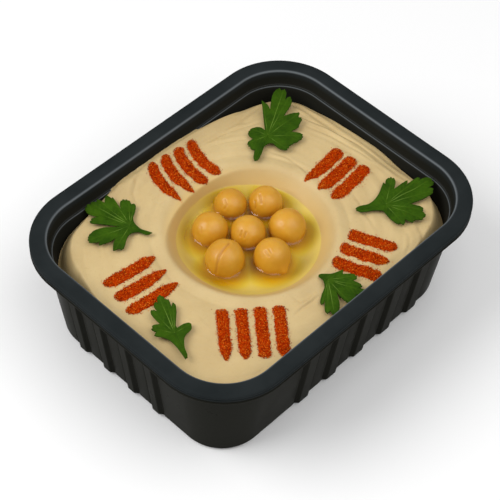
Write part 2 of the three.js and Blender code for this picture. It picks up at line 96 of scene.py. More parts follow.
def getPoints(obj):
    points = np.empty(len(obj.data.vertices) * 3)
    obj.data.vertices.foreach_get("co", points)
    return points.reshape(-1, 3)


def setPoints(obj, points):
    obj.data.vertices.foreach_set("co", (points * mm).ravel())
    obj.data.update()


def setTint(obj, name, values):  # a grey value at each point, for the materials
    layer = obj.data.attributes.get(name) or obj.data.attributes.new(name, 'FLOAT', 'POINT')
    layer.data.foreach_set("value", np.asarray(values, dtype=np.float32))


def finishPiece(obj, name, material, nodes=(), smoothAngle=None):
    unselect()
    obj.select_set(True)
    bpy.context.view_layer.objects.active = obj
    if smoothAngle:
        bpy.ops.object.shade_smooth_by_angle(angle=math.radians(smoothAngle))
    else:
        bpy.ops.object.shade_smooth()
    obj.name = name
    obj.data.name = name
    if material:
        obj.data.materials.clear()
        obj.data.materials.append(material)
    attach(obj, "root")
    if nodes:
        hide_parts(*nodes)
    unselect()


def faceOutwards():  # in edit mode
    bpy.ops.mesh.select_all(action='SELECT')
    bpy.ops.mesh.remove_doubles(threshold=0.002 * mm)
    bpy.ops.mesh.normals_make_consistent(inside=False)


# materials

def newMaterial(name, **sockets):
    material = bpy.data.materials.new(name)
    material.use_nodes = True
    for socket, value in sockets.items():
        shaderOf(material).inputs[socket.replace("_", " ")].default_value = value
    return material


def addNode(material, kind, **settings):  # settings name the node's own properties or its inputs
    node = material.node_tree.nodes.new(kind)
    for key, value in settings.items():
        if hasattr(node, key):
            setattr(node, key, value)
        else:
            node.inputs[key.replace("_", " ")].default_value = value
    return node


def join(material, source, target):
    material.node_tree.links.new(source, target)


def addNoise(material, scale, detail=3, roughness=0.55, stretch=(1, 1, 1)):
    place = addNode(material, 'ShaderNodeTexCoord')
    mapping = addNode(material, 'ShaderNodeMapping')
    mapping.inputs["Scale"].default_value = stretch
    pattern = addNode(material, 'ShaderNodeTexNoise', Scale=scale, Detail=detail, Roughness=roughness)
    join(material, place.outputs["Object"], mapping.inputs["Vector"])
    join(material, mapping.outputs["Vector"], pattern.inputs["Vector"])
    return pattern.outputs["Fac"]


def addRamp(material, source, stops):
    ramp = addNode(material, 'ShaderNodeValToRGB')
    elements = ramp.color_ramp.elements
    while len(elements) < len(stops):
        elements.new(0.5)
    for element, (position, colour) in zip(elements, stops):
        element.position = position
        element.color = colour
    join(material, source, ramp.inputs["Fac"])
    return ramp.outputs["Color"]


def addMix(material, factor, a, b):
    node = addNode(material, 'ShaderNodeMix', data_type='RGBA')
    for source, target in ((factor, node.inputs[0]), (a, node.inputs[6]), (b, node.inputs[7])):
        if isinstance(source, bpy.types.NodeSocket):
            join(material, source, target)
        else:
            target.default_value = source
    return node.outputs[2]


def addRange(material, source, low, high, toLow, toHigh):
    node = addNode(material, 'ShaderNodeMapRange')
    for name, value in (("From Min", low), ("From Max", high), ("To Min", toLow), ("To Max", toHigh)):
        node.inputs[name].default_value = value
    join(material, source, node.inputs["Value"])
    return node.outputs["Result"]


def addBump(material, height, strength, distance, below=None):
    node = addNode(material, 'ShaderNodeBump', Strength=strength, Distance=distance * mm)
    join(material, height, node.inputs["Height"])
    if below:
        join(material, below, node.inputs["Normal"])
    return node.outputs["Normal"]


def addTint(material, name):  # reads a grey value that setTint stored
    return addNode(material, 'ShaderNodeAttribute', attribute_name=name).outputs["Fac"]


def shaderOf(material):
    return material.node_tree.nodes["Principled BSDF"]


def toShader(material, source, socket):
    join(material, source, shaderOf(material).inputs[socket])


def makeTrayPlastic():
    material = newMaterial("blackTrayPlastic", IOR=1.045)
    cloudy = addNoise(material, 90, 3)
    black = addRamp(material, cloudy, [(0.3, linear(32, 36, 37)), (0.7, linear(38, 42, 43))])
    edge = addTint(material, "edge")
    side = addTint(material, "side")
    reflectionTinted = addMix(material, side, black, linear(33, 32, 26))  # painted reflection: the walls are drawn a warmer black, for the warm floor they reflect
    colour = addMix(material, edge, reflectionTinted, linear(122, 128, 132))  # painted highlight: the rim's inner edge and the ledge's edges are drawn pale grey, for the light they catch
    toShader(material, colour, "Base Color")
    toShader(material, addRange(material, cloudy, 0.3, 0.7, 0.27, 0.36), "Roughness")
    drawn = addNoise(material, 900, 2, 0.5, (1, 1, 0.05))  # faint streaks down the walls, from the mould
    grain = addNoise(material, 2400, 2)
    streaks = addBump(material, drawn, 0.25, 0.02)
    toShader(material, addBump(material, grain, 0.2, 0.01, streaks), "Normal")
    return material


def makeHummusPaste():
    material = newMaterial(
        "hummusPaste", Specular_IOR_Level=0.3, Subsurface_Weight=0.12, Subsurface_Scale=1.2 * mm,
    )
    shaderOf(material).inputs["Subsurface Radius"].default_value = (1.0, 0.7, 0.35)
    cloudy = addNoise(material, 70, 4)
    paste = addRamp(material, cloudy, [(0.3, linear(196, 170, 120)), (0.7, linear(208, 183, 132))])
    specks = addNoise(material, 1500, 2, 0.6)
    specked = addRange(material, specks, 0.6, 0.75, 0, 0.3)
    speckled = addMix(material, specked, paste, linear(178, 148, 96))
    oiled = addTint(material, "oiled")
    soaked = addMix(material, oiled, speckled, linear(208, 176, 112))
    # the oil's own tint under the pool, with painted shade and orange bounce light near the chickpeas
    oilTintAndPeaShade = addTint(material, "oilTintAndPeaShade")
    seen = addRamp(material, oilTintAndPeaShade, [
        (0.0, linear(226, 205, 118)), (0.4, linear(222, 196, 60)), (0.75, linear(214, 174, 8)),
        (1.0, linear(202, 150, 3)),
    ])
    colour = addMix(material, addRange(material, oilTintAndPeaShade, 0, 0.06, 0, 1), soaked, seen)
    toShader(material, colour, "Base Color")
    toShader(material, addRange(material, oiled, 0, 1, 0.52, 0.34), "Roughness")
    lumps = addBump(material, addNoise(material, 420, 3), 0.35, 0.12)
    toShader(material, addBump(material, specks, 0.4, 0.03, lumps), "Normal")
    return material


def makeOil():
    material = newMaterial(
        "goldenOil", Roughness=0.05, IOR=1.4, Transmission_Weight=1.0, Base_Color=linear(252, 248, 212),
        Specular_IOR_Level=0.3,
    )
    ripple = addNoise(material, 160, 2)
    toShader(material, addBump(material, ripple, 0.12, 0.08), "Normal")
    return material


def makeChickpeaSkin():
    material = newMaterial(
        "chickpeaSkin", Roughness=0.4, Specular_IOR_Level=0.4, Coat_Weight=0.35, Coat_Roughness=0.3,
        Subsurface_Weight=0.15, Subsurface_Scale=1.5 * mm,
    )
    shaderOf(material).inputs["Subsurface Radius"].default_value = (1.0, 0.55, 0.2)
    cloudy = addNoise(material, 140, 4)
    flesh = addRamp(material, cloudy, [(0.3, linear(200, 139, 22)), (0.72, linear(213, 156, 40))])
    # painted shade: the creases are drawn a darker brown
    crease = addTint(material, "crease")
    creaseShaded = addMix(material, crease, flesh, linear(170, 104, 30))
    # painted shade: the lower sides, down towards the oil, are drawn a darker amber
    low = addTint(material, "low")
    colour = addMix(material, low, creaseShaded, linear(196, 124, 10))
    toShader(material, colour, "Base Color")
    wrinkles = addBump(material, addNoise(material, 330, 3, 0.5, (1, 1, 0.45)), 0.3, 0.1)
    pores = addNoise(material, 1900, 2)
    toShader(material, addBump(material, pores, 0.2, 0.02, wrinkles), "Normal")
    return material


def makeParsleyBlade():
    material = newMaterial(
        "parsleyBlade", Roughness=0.62, Specular_IOR_Level=0.06,
        Subsurface_Weight=0.04, Subsurface_Scale=0.5 * mm,
    )
    cloudy = addNoise(material, 240, 4)
    blade = addRamp(material, cloudy, [(0.32, linear(38, 67, 4)), (0.68, linear(54, 86, 8))])
    rim = addTint(material, "rim")
    edged = addMix(material, rim, blade, linear(38, 62, 8))
    ribbed = addTint(material, "ribbed")
    colour = addMix(material, ribbed, edged, linear(80, 112, 24))
    toShader(material, colour, "Base Color")
    cells = addBump(material, addNoise(material, 900, 3), 0.5, 0.08)
    toShader(material, cells, "Normal")
    return material


def makeParsleyVein():
    material = newMaterial("parsleyVein", Roughness=0.5, Specular_IOR_Level=0.25)
    cloudy = addNoise(material, 300, 2)
    colour = addRamp(material, cloudy, [(0.3, linear(92, 122, 34)), (0.7, linear(112, 140, 50))])
    toShader(material, colour, "Base Color")
    return material


def makePaprika():
    material = newMaterial("paprikaGrain", Roughness=0.95, Specular_IOR_Level=0.03)
    tint = addTint(material, "tint")
    colour = addRamp(material, tint, [
        (0.0, linear(112, 18, 1)), (0.4, linear(178, 50, 2)), (0.75, linear(222, 92, 5)),
        (1.0, linear(240, 140, 42)),
    ])
    mottled = addNoise(material, 2600, 2)
    clouds = addRange(material, mottled, 0.35, 0.65, 0, 0.3)
    shade = addMix(material, clouds, colour, linear(142, 44, 3))
    toShader(material, shade, "Base Color")
    toShader(material, addBump(material, mottled, 0.5, 0.08), "Normal")
    return material


def makeFloorPaper():
    material = newMaterial("paleFloor", Roughness=0.9, Base_Color=linear(249, 249, 249))
    return material


# tray

tray = {
    "length": 137, "width": 107.6, "height": 45,
    "cornerRadius": 25.6,  # in plan, at the rim's outer edge
    "baseInset": 10, "taper": 0.125, "footRadius": 2, "floorThickness": 1.2, "wallTop": 43,
    "rimInset": 6.1, "ledgeHeight": 38.3, "ledgeWidth": 0.7, "cornerSteps": 22,
    "paintedWallReflection": 0.8,  # how strongly the walls show the painted warm reflection
    # painted highlights, where the rim's edges catch the light: inset, height, width, strength
    "paintedHighlights": ((5.85, 44.7, 0.4, 0.65), (7.1, 38.95, 0.2, 0.5), (7.45, 38.5, 0.2, 0.5)),
}
ribs = {
    "long": {"count": 5, "pitch": 14, "width": 6.2, "middle": 8},
    "short": {"count": 4, "pitch": 12.2, "width": 4.8, "middle": 5.1},
    "proud": 1, "slope": 0.95, "grooveDepth": 0.45, "grooveWidth": 0.42, "grooveOffset": 0.4,
    "fadeLow": 0.3, "fadeHigh": 1.5,
}
halfLength = tray["length"] / 2
halfWidth = tray["width"] / 2
acrossX = halfLength - tray["cornerRadius"]
acrossY = halfWidth - tray["cornerRadius"]


def outerInset(z):
    return tray["baseInset"] - tray["taper"] * z


def innerInset(z):
    step = np.where(np.asarray(z) < tray["ledgeHeight"], tray["ledgeWidth"], 0)
    return tray["rimInset"] + tray["taper"] * (tray["height"] - z) + step


def traySection():  # from the base out, up the wall, round the skirt, over the rim and down to the floor
    height, foot = tray["height"], tray["footRadius"]
    ledge = tray["ledgeHeight"]
    inner = tray["floorThickness"] + foot
    section = arc((outerInset(foot) + foot, foot), (foot, foot), 270, 180, 8)
    section += [(outerInset(z), z) for z in (3.2, 6, 12, 24, 36, 40, tray["wallTop"])]
    section += [(outerInset(height - 1.2), height - 1.2), (1.25, height - 1)]  # under the rim
    section += [(1.05, height - 1.25), (1, 41.3)]  # down inside the skirt
    section += arc((0.55, 41.32), (0.5, 0.52), 250, 95, 9)  # lower lip
    section += arc((0.52, 42.72), (0.45, 0.62), 245, 115, 9)  # middle bead
    section += arc((0.95, 44.12), (0.92, 0.88), 212, 90, 12)  # outer edge of the rim
    section += arc((5.1, 44.05), (1, 0.95), 90, 0, 9)  # inner edge of the rim
    section += [(float(innerInset(z)), z) for z in (42, 40)]
    section += arc((float(innerInset(39)) - 0.05, 39.1), (0.34, 0.32), 75, -75, 6)
    section += arc((float(innerInset(ledge)) + 0.3, ledge - 0.1), (0.42, 0.42), 110, 0, 7)
    section += [(float(innerInset(z)), z) for z in (37, 30, 12)]
    middle = float(innerInset(inner)) + foot
    return section + arc((middle, inner), (foot, foot), 180, 270, 5)


def ribStations(row, start, end):  # where the wall gets a column of points, along one side
    offsets = [0, 1.2, 1.7]
    edge = row["width"] / 2
    offsets += [edge + step for step in (-1.15, -0.95, -0.75, -0.5, -0.25, 0, 0.2, 0.45, 0.7, 1.0, 1.4)]
    stations = {start, end}
    for index in range(row["count"]):
        centre = row["middle"] + (index - (row["count"] - 1) / 2) * row["pitch"]
        for offset in offsets:
            stations.update((centre + offset, centre - offset))
    return sorted(s for s in stations if start <= s <= end)


def ribHeight(row, along):
    out = np.zeros_like(along)
    for index in range(row["count"]):
        centre = row["middle"] + (index - (row["count"] - 1) / 2) * row["pitch"]
        beside = np.abs(along - centre) - row["width"] / 2
        out = out + ribs["proud"] * smoothStep(0, -ribs["slope"], beside)
        out = out - ribs["grooveDepth"] * bump(beside - ribs["grooveOffset"], ribs["grooveWidth"])
    return out


def makeTray(material):
    section = traySection()
    unselect()
    bpy.ops.mesh.primitive_plane_add(size=mm)
    bpy.ops.object.mode_set(mode='EDIT')
    bpy.ops.mesh.select_all(action='SELECT')
    bpy.ops.mesh.merge(type='CENTER')
    place = Vector((acrossX, halfWidth - section[0][0], section[0][1]))
    bpy.ops.transform.translate(value=place * mm)
    for inset, z in section[1:]:
        step = Vector((acrossX, halfWidth - inset, z)) - place
        bpy.ops.mesh.extrude_vertices_move(TRANSFORM_OT_translate={"value": step * mm})
        place += step
    bpy.ops.mesh.select_all(action='SELECT')
    # run the section round the rim: along each side by its stations, then a quarter turn at the corner
    corners = [(-acrossX, acrossY), (-acrossX, -acrossY), (acrossX, -acrossY), (acrossX, acrossY)]
    headings = [Vector((-1, 0, 0)), Vector((0, -1, 0)), Vector((1, 0, 0)), Vector((0, 1, 0))]
    for index, (corner, heading) in enumerate(zip(corners, headings)):
        onLongSide = index % 2 == 0
        row, reach = (ribs["long"], acrossX) if onLongSide else (ribs["short"], acrossY)
        stations = ribStations(row, -reach, reach)
        if not onLongSide:
            stations = [-s for s in reversed(stations)]
        for here, there in zip(stations, stations[1:]):
            move = heading * (there - here) * mm
            bpy.ops.mesh.extrude_edges_move(TRANSFORM_OT_translate={"value": move})
        centre = (corner[0] * mm, corner[1] * mm, 0)
        bpy.ops.mesh.spin(steps=tray["cornerSteps"], angle=-math.pi / 2, center=centre, axis=(0, 0, 1))
    bpy.ops.mesh.select_all(action='SELECT')
    bpy.ops.mesh.remove_doubles(threshold=0.002 * mm)
    for level in (section[0][1], section[-1][1]):  # close the base and the floor
        bpy.ops.mesh.select_all(action='DESELECT')
        mesh = bmesh.from_edit_mesh(bpy.context.object.data)
        for edge in mesh.edges:
            if edge.is_boundary and abs(edge.verts[0].co.z / mm - level) < 0.01:
                edge.select_set(True)
        bmesh.update_edit_mesh(bpy.context.object.data)
        bpy.ops.mesh.edge_face_add()
    faceOutwards()
    bpy.ops.object.mode_set(mode='OBJECT')
    obj = bpy.context.object
    points = getPoints(obj) / mm
    setPoints(obj, raiseRibs(points))
    # painted highlights along the rim's inner edge and the ledge's two edges
    setTint(obj, "edge", paintedEdgeHighlights(points))
    wallTop = tray["wallTop"]
    # painted reflection: everything below the top of the walls takes the warmer black of a reflected
    # warm floor
    setTint(obj, "side", tray["paintedWallReflection"] * smoothStep(wallTop + 0.2, wallTop - 1, points[:, 2]))
    finishPiece(obj, "tray_shell", material, ["tray"], 32)
    print("stage: tray", len(obj.data.polygons), "faces")


def insetOf(x, y):  # how far in from the rim's outer edge, in plan
    beyondX = np.abs(x) - acrossX
    beyondY = np.abs(y) - acrossY
    outside = np.hypot(np.maximum(beyondX, 0), np.maximum(beyondY, 0))
    return tray["cornerRadius"] - outside - np.minimum(np.maximum(beyondX, beyondY), 0)


def paintedEdgeHighlights(points):  # painted highlights on the rim's inner edge and on the two edges of the ledge
    x, y, z = points.T
    inset = insetOf(x, y)
    edge = np.zeros_like(z)
    for atInset, atZ, width, strength in tray["paintedHighlights"]:
        edge = np.maximum(edge, strength * bump(np.hypot(inset - atInset, z - atZ), width))
    return edge


def raiseRibs(points):  # push the wall's columns out into ribs, and in at the groove beside each
    x, y, z = points.T
    onLong = (np.abs(x) <= acrossX + 0.01) & (np.abs(y) > acrossY)
    onShort = (np.abs(y) <= acrossY + 0.01) & (np.abs(x) > acrossX)
    inset = np.where(onLong, halfWidth - np.abs(y), halfLength - np.abs(x))
    foot = tray["footRadius"]
    footArc = (z < foot) & (inset < outerInset(foot) + foot + 0.01)
    wall = (z <= tray["wallTop"] + 0.01) & (np.abs(inset - outerInset(z)) < 0.05)
    onWall = (wall | footArc) & (onLong | onShort)
    longOut = ribHeight(ribs["long"], np.where(y < 0, x, -x))
    shortOut = ribHeight(ribs["short"], np.where(x < 0, y, -y))
    fade = smoothStep(ribs["fadeLow"], ribs["fadeHigh"], z)
    out = np.where(onLong, longOut, shortOut) * fade * onWall
    y = y + np.where(onLong, np.sign(y) * out, 0)
    x = x + np.where(onLong, 0, np.sign(x) * out * onShort)
    return np.stack([x, y, z], axis=1)


# hummus

well = {
    "x": -1.2, "y": 0.6, "poolRadius": 24.9, "oilLevel": 33, "floor": 28, "slope": 1.05,
    "toeRounding": 2.5, "brinkRounding": 0.9,
    "bulge": {"angle": 148, "spread": 26, "by": 0.8},  # the pool is wider on the left
    "steep": {"angle": 98, "spread": 38, "by": 1.5, "dip": 1.4, "dipReach": (27, 39)},  # the back wall
}
hummus = {
    "crown": 37.9, "edge": 37.2, "shoulder": 20,
    "cornerDip": 5.2, "cornerAngle": 38, "cornerSpread": (36, 20),
    # where it stands back from the wall: angle, spread, by
    "cornerPulls": ((147, 17, 4.4), (-35, 16, 4), (38, 20, 2.4)),
    "cornerFall": 1.9,
    "backRise": {"by": 2.4, "from": (43, 52), "to": (112, 128), "reach": 6.5},  # it climbs the back wall
    "rightDip": {"by": 2.6, "angle": -15, "spread": 10, "reach": 8},
    "lipRadius": 31.2, "lipHeight": 0.45, "lipWidth": 1.7,
    "creaseRadius": 34.6, "creaseDepth": 0.25, "creaseWidth": 0.9,
    "rays": 560, "wallGap": 0.04,
    "evenReach": 36, "hiddenReach": 18,  # rings are even within the first, and coarse within the second
}
marks = [  # where the spatula dragged: depth and width of the groove, and the points it runs through
    (0.4, 1.0, ((36, -13.9), (34.9, -17.8), (32.5, -22.4), (31.5, -26.1), (29.8, -29.6))),
    (0.35, 1.0, ((37.2, -36.8), (35.4, -40.2), (32.6, -42.6), (29.1, -44.3))),
    (0.35, 0.9, ((41.3, -38.8), (39.8, -42.5), (36.7, -45.1))),
    (0.3, 0.9, ((45, -41.2), (42.7, -44.6))),
    (0.45, 0.8, ((-5.4, -35.9), (-9.3, -36), (-13.4, -35.7), (-17.1, -35.8))),
    (0.25, 0.9, ((-12.1, -28.8), (-11.9, -33.3), (-9.8, -34), (-6.5, -33.7))),
    (0.3, 0.8, ((-56.3, -31.5), (-53.4, -35.7), (-49.3, -39.7), (-43.6, -43.2), (-39.7, -43.5))),
    (0.12, 0.9, ((-39.8, -13.5), (-40.5, -18), (-40.8, -23))),
    (0.3, 1.3, ((-48.4, 33.3), (-51.4, 30), (-55, 24.4), (-57.5, 17.4), (-58.1, 9.6), (-57.3, 3.6))),
    (0.22, 1.2, ((-40, 36.3), (-42.9, 31.6), (-46.1, 26.8))),
    (0.3, 1.3, ((-42.4, 45), (-46.3, 42.5), (-51.7, 37.7), (-54.7, 33), (-56.2, 26.8))),
    (0.3, 1.0, ((41.3, 32.1), (36.9, 34.6), (29.2, 37.6), (21.5, 39.7), (14, 41.2))),
    (0.25, 1.1, ((31.4, 29.3), (23, 34.7), (15.3, 38.7))),
    (0.35, 1.2, ((-5.9, 46.2), (-13.9, 43.7), (-18.9, 40.3), (-22.2, 34.3))),
    (0.18, 1.0, ((-12.6, 30.8), (-16.4, 31.3), (-21.1, 27.6))),
    (0.35, 0.8, ((50, 29.9), (53.6, 15.6), (56, 2.7), (55.9, -7.8))),
    (0.3, 0.9, ((48.3, 22.9), (51.8, 10.9), (53.2, -2), (53.2, -7.3))),
    (0.25, 0.9, ((28.9, 23.6), (32.2, 15.3), (32.7, 8.8), (31.5, 3.2))),
]


def wallDistance(x, y):
    return insetOf(x, y) - float(innerInset(hummus["edge"]))


def around(angle, centre, spread):  # how near an angle is to a direction, all round
    offset = angle - math.radians(centre)
    return bump(offset - 2 * math.pi * np.round(offset / (2 * math.pi)), math.radians(spread))


def edgeLevel(x, y):
    offset = np.arctan2(y, x) - math.radians(hummus["cornerAngle"])
    wrapped = offset - 2 * math.pi * np.round(offset / (2 * math.pi))
    spread = np.radians(np.where(wrapped < 0, hummus["cornerSpread"][0], hummus["cornerSpread"][1]))
    return hummus["edge"] - hummus["cornerDip"] * bump(wrapped, spread)


def cornerPull(x, y):
    angle = np.arctan2(y, x)
    pulls = [pull * around(angle, centre, spread) for centre, spread, pull in hummus["cornerPulls"]]
    return 0.01 + sum(pulls)


def cornerFall(x, y, distance):
    pull = cornerPull(x, y)
    return hummus["cornerFall"] * pull * (1 - smoothStep(0.2 * pull, 1.45 * pull, distance))


def wallRise(x, y, distance):
    rise, dip = hummus["backRise"], hummus["rightDip"]
    angle = np.arctan2(y, x)
    degrees = np.degrees(angle)
    raised = rise["by"] * smoothStep(*rise["from"], degrees) * (1 - smoothStep(*rise["to"], degrees))
    lowered = dip["by"] * around(angle, dip["angle"], dip["spread"])
    raised = raised * (1 - smoothStep(0, rise["reach"], distance))
    return raised - lowered * (1 - smoothStep(0, dip["reach"], distance))


def poolReach(angle):
    bulge = well["bulge"]
    return well["poolRadius"] + bulge["by"] * around(angle, bulge["angle"], bulge["spread"])


def wellLevel(reach, angle):
    steep = well["steep"]
    slope = well["slope"] + steep["by"] * around(angle, steep["angle"], steep["spread"])
    wall = well["oilLevel"] + (reach - poolReach(angle)) * slope
    return softMax(well["floor"], wall, well["toeRounding"])


def strokes(x, y, reach, distance):  # rings round the well, terraces down to the far walls, slow swells
    angle = np.arctan2(y - well["y"], x - well["x"])
    uneven = smoothNoise(x, y, 18, 20)
    drift = smoothNoise(x, y, 22, 21)
    rings = 0.24 * smoothStep(35, 40, reach) * (0.6 + 0.4 * np.cos(angle + 0.2)) * (0.55 + 0.8 * uneven)
    terraces = 0.22 * bump(angle - 0.4, 1.1) * bump(distance - 4.5, 4)
    swells = 0.3 * smoothStep(33, 40, reach)
    return (
        rings * np.cos(reach * 1.02 + 0.9 * np.sin(2 * angle + 0.5) + 2.2 * drift)
        + terraces * np.sin(distance * 1.9 + 0.5 * np.sin(3 * angle) + 1.5 * drift)
        + swells * np.sin(0.105 * x + 0.05 * y + 0.7) * np.cos(0.12 * y - 0.04 * x + 0.3)
    )


def markRelief(x, y):  # each groove has a low ridge along one side, where the paste was pushed up
    relief = np.zeros_like(x)
    for depth, width, path in marks:
        away = np.full_like(x, 99)
        side = np.ones_like(x)
        share = np.zeros_like(x)
        for number, ((fromX, fromY), (toX, toY)) in enumerate(zip(path, path[1:])):
            runX, runY = toX - fromX, toY - fromY
            length = math.hypot(runX, runY)
            along = np.clip(((x - fromX) * runX + (y - fromY) * runY) / length ** 2, 0, 1)
            gap = np.hypot(x - fromX - along * runX, y - fromY - along * runY)
            nearer = gap < away
            away = np.where(nearer, gap, away)
            side = np.where(nearer, np.sign((x - fromX) * runY - (y - fromY) * runX), side)
            share = np.where(nearer, (number + along) / (len(path) - 1), share)
        fade = np.sin(math.pi * np.clip(0.12 + 0.76 * share, 0, 1))
        groove = bump(away, width * 0.55)
        ridge = 0.7 * bump(away * side - 1.25 * width, width * 0.8)
        relief = relief + 0.8 * depth * fade * (ridge - groove)
    return relief


def fineRelief(x, y, reach, distance):  # what the spatula left between the larger strokes
    angle = np.arctan2(y - well["y"], x - well["x"])
    dragged = smoothNoise(reach * 2.1, angle * 11, 3.2, 1)
    lumps = smoothNoise(x, y, 6.5, 2)
    small = smoothNoise(x, y, 2.3, 3)
    outside = smoothStep(29.5, 34, reach)
    relief = outside * (0.1 * dragged + 0.13 * lumps + 0.045 * small)
    # small lumpy ripples in the front corner
    atFront = around(angle, -42, 26) * smoothStep(38, 50, reach)
    relief = relief + atFront * 0.22 * smoothNoise(reach * 0.5, angle * 26, 1.6, 12)
    # crumbly along the back wall
    atBack = around(np.arctan2(y, x), 112, 26) * (1 - smoothStep(0.5, 6, distance))
    relief = relief + atBack * 0.5 * smoothNoise(x, y, 2.6, 13)
    inWell = 0.035 * smoothNoise(reach * 2.4, angle * 8, 3, 4) * smoothStep(20, 25, reach)
    return relief + (1 - outside) * inWell


def hummusLevel(x, y):
    x = np.asarray(x, dtype=float)
    y = np.asarray(y, dtype=float)
    reach = np.hypot(x - well["x"], y - well["y"])
    angle = np.arctan2(y - well["y"], x - well["x"])
    distance = np.maximum(wallDistance(x, y), 0)
    roll = np.minimum(np.maximum(distance - 0.5 * cornerPull(x, y), 0) / hummus["shoulder"], 1)
    level = mix(edgeLevel(x, y), hummus["crown"], np.sqrt(np.maximum(1 - (1 - roll) ** 2, 0)))
    level = level - cornerFall(x, y, distance) + wallRise(x, y, distance)
    level = level + (strokes(x, y, reach, distance) + markRelief(x, y)) * smoothStep(0, 1.5, distance)
    level = level + hummus["lipHeight"] * bump(reach - hummus["lipRadius"], hummus["lipWidth"])
    level = level - hummus["creaseDepth"] * bump(reach - hummus["creaseRadius"], hummus["creaseWidth"])
    steep = well["steep"]
    dipped = around(angle, steep["angle"], steep["spread"]) * (1 - smoothStep(*steep["dipReach"], reach))
    level = softMin(level - steep["dip"] * dipped, wellLevel(reach, angle), well["brinkRounding"])
    return level + fineRelief(x, y, reach, distance)


def wallReach(angle, gap):  # how far it is from the well's middle to the wall, each way
    low = np.zeros_like(angle)
    high = np.full_like(angle, 90)
    for _ in range(40):
        middle = (low + high) / 2
        x, y = well["x"] + middle * np.cos(angle), well["y"] + middle * np.sin(angle)
        inside = wallDistance(x, y) > gap
        low = np.where(inside, middle, low)
        high = np.where(inside, high, middle)
    return low


def ringStack(steps, rings):  # a circle extruded upwards ring by ring, ready to be shaped
    unselect()
    bpy.ops.mesh.primitive_circle_add(vertices=steps, radius=1, fill_type='NOTHING')
    bpy.ops.object.mode_set(mode='EDIT')
    bpy.ops.mesh.select_all(action='SELECT')
    for _ in range(rings - 1):
        bpy.ops.mesh.extrude_edges_move(TRANSFORM_OT_translate={"value": (0, 0, 1)})
    bpy.ops.object.mode_set(mode='OBJECT')
    return bpy.context.object


def ringsOf(obj):  # ring number and angle of each point of a stack
    points = getPoints(obj)
    return np.rint(points[:, 2]).astype(int), np.arctan2(points[:, 1], points[:, 0])


def closeEnds(obj, ring, ends):  # fill the first and last rings
    bpy.ops.object.mode_set(mode='EDIT')
    for end in ends:
        bpy.ops.mesh.select_all(action='DESELECT')
        mesh = bmesh.from_edit_mesh(obj.data)
        mesh.verts.ensure_lookup_table()
        for index in np.flatnonzero(ring == end):
            mesh.verts[index].select = True
        mesh.select_flush(True)
        bmesh.update_edit_mesh(obj.data)
        bpy.ops.mesh.edge_face_add()
    bpy.ops.mesh.select_all(action='SELECT')
    bpy.ops.mesh.normals_make_consistent(inside=False)
    bpy.ops.object.mode_set(mode='OBJECT')


def makeHummus(material):
    # rings from the floor up the wall, then over the surface and down into the well
    inner = np.arange(hummus["evenReach"], hummus["hiddenReach"], -0.3)
    hidden = np.arange(hummus["hiddenReach"], 1, -1.5)
    shares = 1 - np.linspace(0, 1, 84)[:-1] ** 1.1
    sides = 4
    count = sides + len(shares) + len(inner) + len(hidden)
    obj = ringStack(hummus["rays"], count)
    ring, angle = ringsOf(obj)
    atWall = wallReach(angle, 0)
    wallX, wallY = well["x"] + atWall * np.cos(angle), well["y"] + atWall * np.sin(angle)
    level = edgeLevel(wallX, wallY) - cornerFall(wallX, wallY, 0) + wallRise(wallX, wallY, 0)
    drop = innerInset(level) - float(innerInset(hummus["edge"]))
    atWall = wallReach(angle, drop + hummus["wallGap"])
    onTop = ring >= sides
    share = np.append(shares, 0)[np.clip(ring - sides, 0, len(shares))]
    reach = mix(hummus["evenReach"], atWall, share)
    wellRings = np.concatenate([inner, hidden])
    inWell = ring >= sides + len(shares)
    wellRing = np.clip(ring - sides - len(shares), 0, len(wellRings) - 1)
    reach = np.where(inWell, wellRings[wellRing], reach)
    foot = tray["footRadius"]
    bottom = tray["floorThickness"] + 0.3
    levels = np.array([bottom, bottom + foot * 0.3, bottom + foot, 0])
    insets = innerInset(levels) - float(innerInset(hummus["edge"])) + 0.3
    insets = insets + np.array([foot, foot * 0.3, 0, 0])
    for index in range(3):
        reach = np.where(ring == index, wallReach(angle, insets[index]), reach)
    underLedge = np.minimum(level - 0.8, tray["ledgeHeight"] - 0.4)
    shoulder = wallReach(angle, innerInset(underLedge) - float(innerInset(hummus["edge"])) + 0.1)
    reach = np.where(ring == 3, shoulder, reach)
    x = well["x"] + reach * np.cos(angle)
    y = well["y"] + reach * np.sin(angle)
    z = np.empty_like(x)
    z[onTop] = hummusLevel(x[onTop], y[onTop])
    z[ring < 3] = levels[ring[ring < 3]]
    z[ring == 3] = underLedge[ring == 3]
    setPoints(obj, np.stack([x, y, z], axis=1))
    closeEnds(obj, ring, (0, count - 1))
    fromPool = np.hypot(x - well["x"], y - well["y"])
    pool = poolReach(angle)
    setTint(obj, "oiled", smoothStep(pool + 6, pool + 0.3, fromPool))
    # under the oil the paste takes the oil's own tint, and close to the chickpeas a darker, deeper gold
    # that is painted shade and orange bounce light from them
    peaGaps = [np.hypot(x - pea["x"], y - pea["y"]) - pea["radius"] for pea in chickpeas]
    fromPeas = np.min(peaGaps, axis=0)
    under = smoothStep(pool + 0.15, pool - 0.6, fromPool)
    setTint(obj, "oilTintAndPeaShade", under * (0.07 + 0.93 * smoothStep(6.5, -1.5, fromPeas)))
    finishPiece(obj, "hummus_paste", material, ["hummus"])
    print("stage: hummus", len(obj.data.polygons), "faces")


# chickpeas

chickpeaLift = 0.4  # above the well's floor
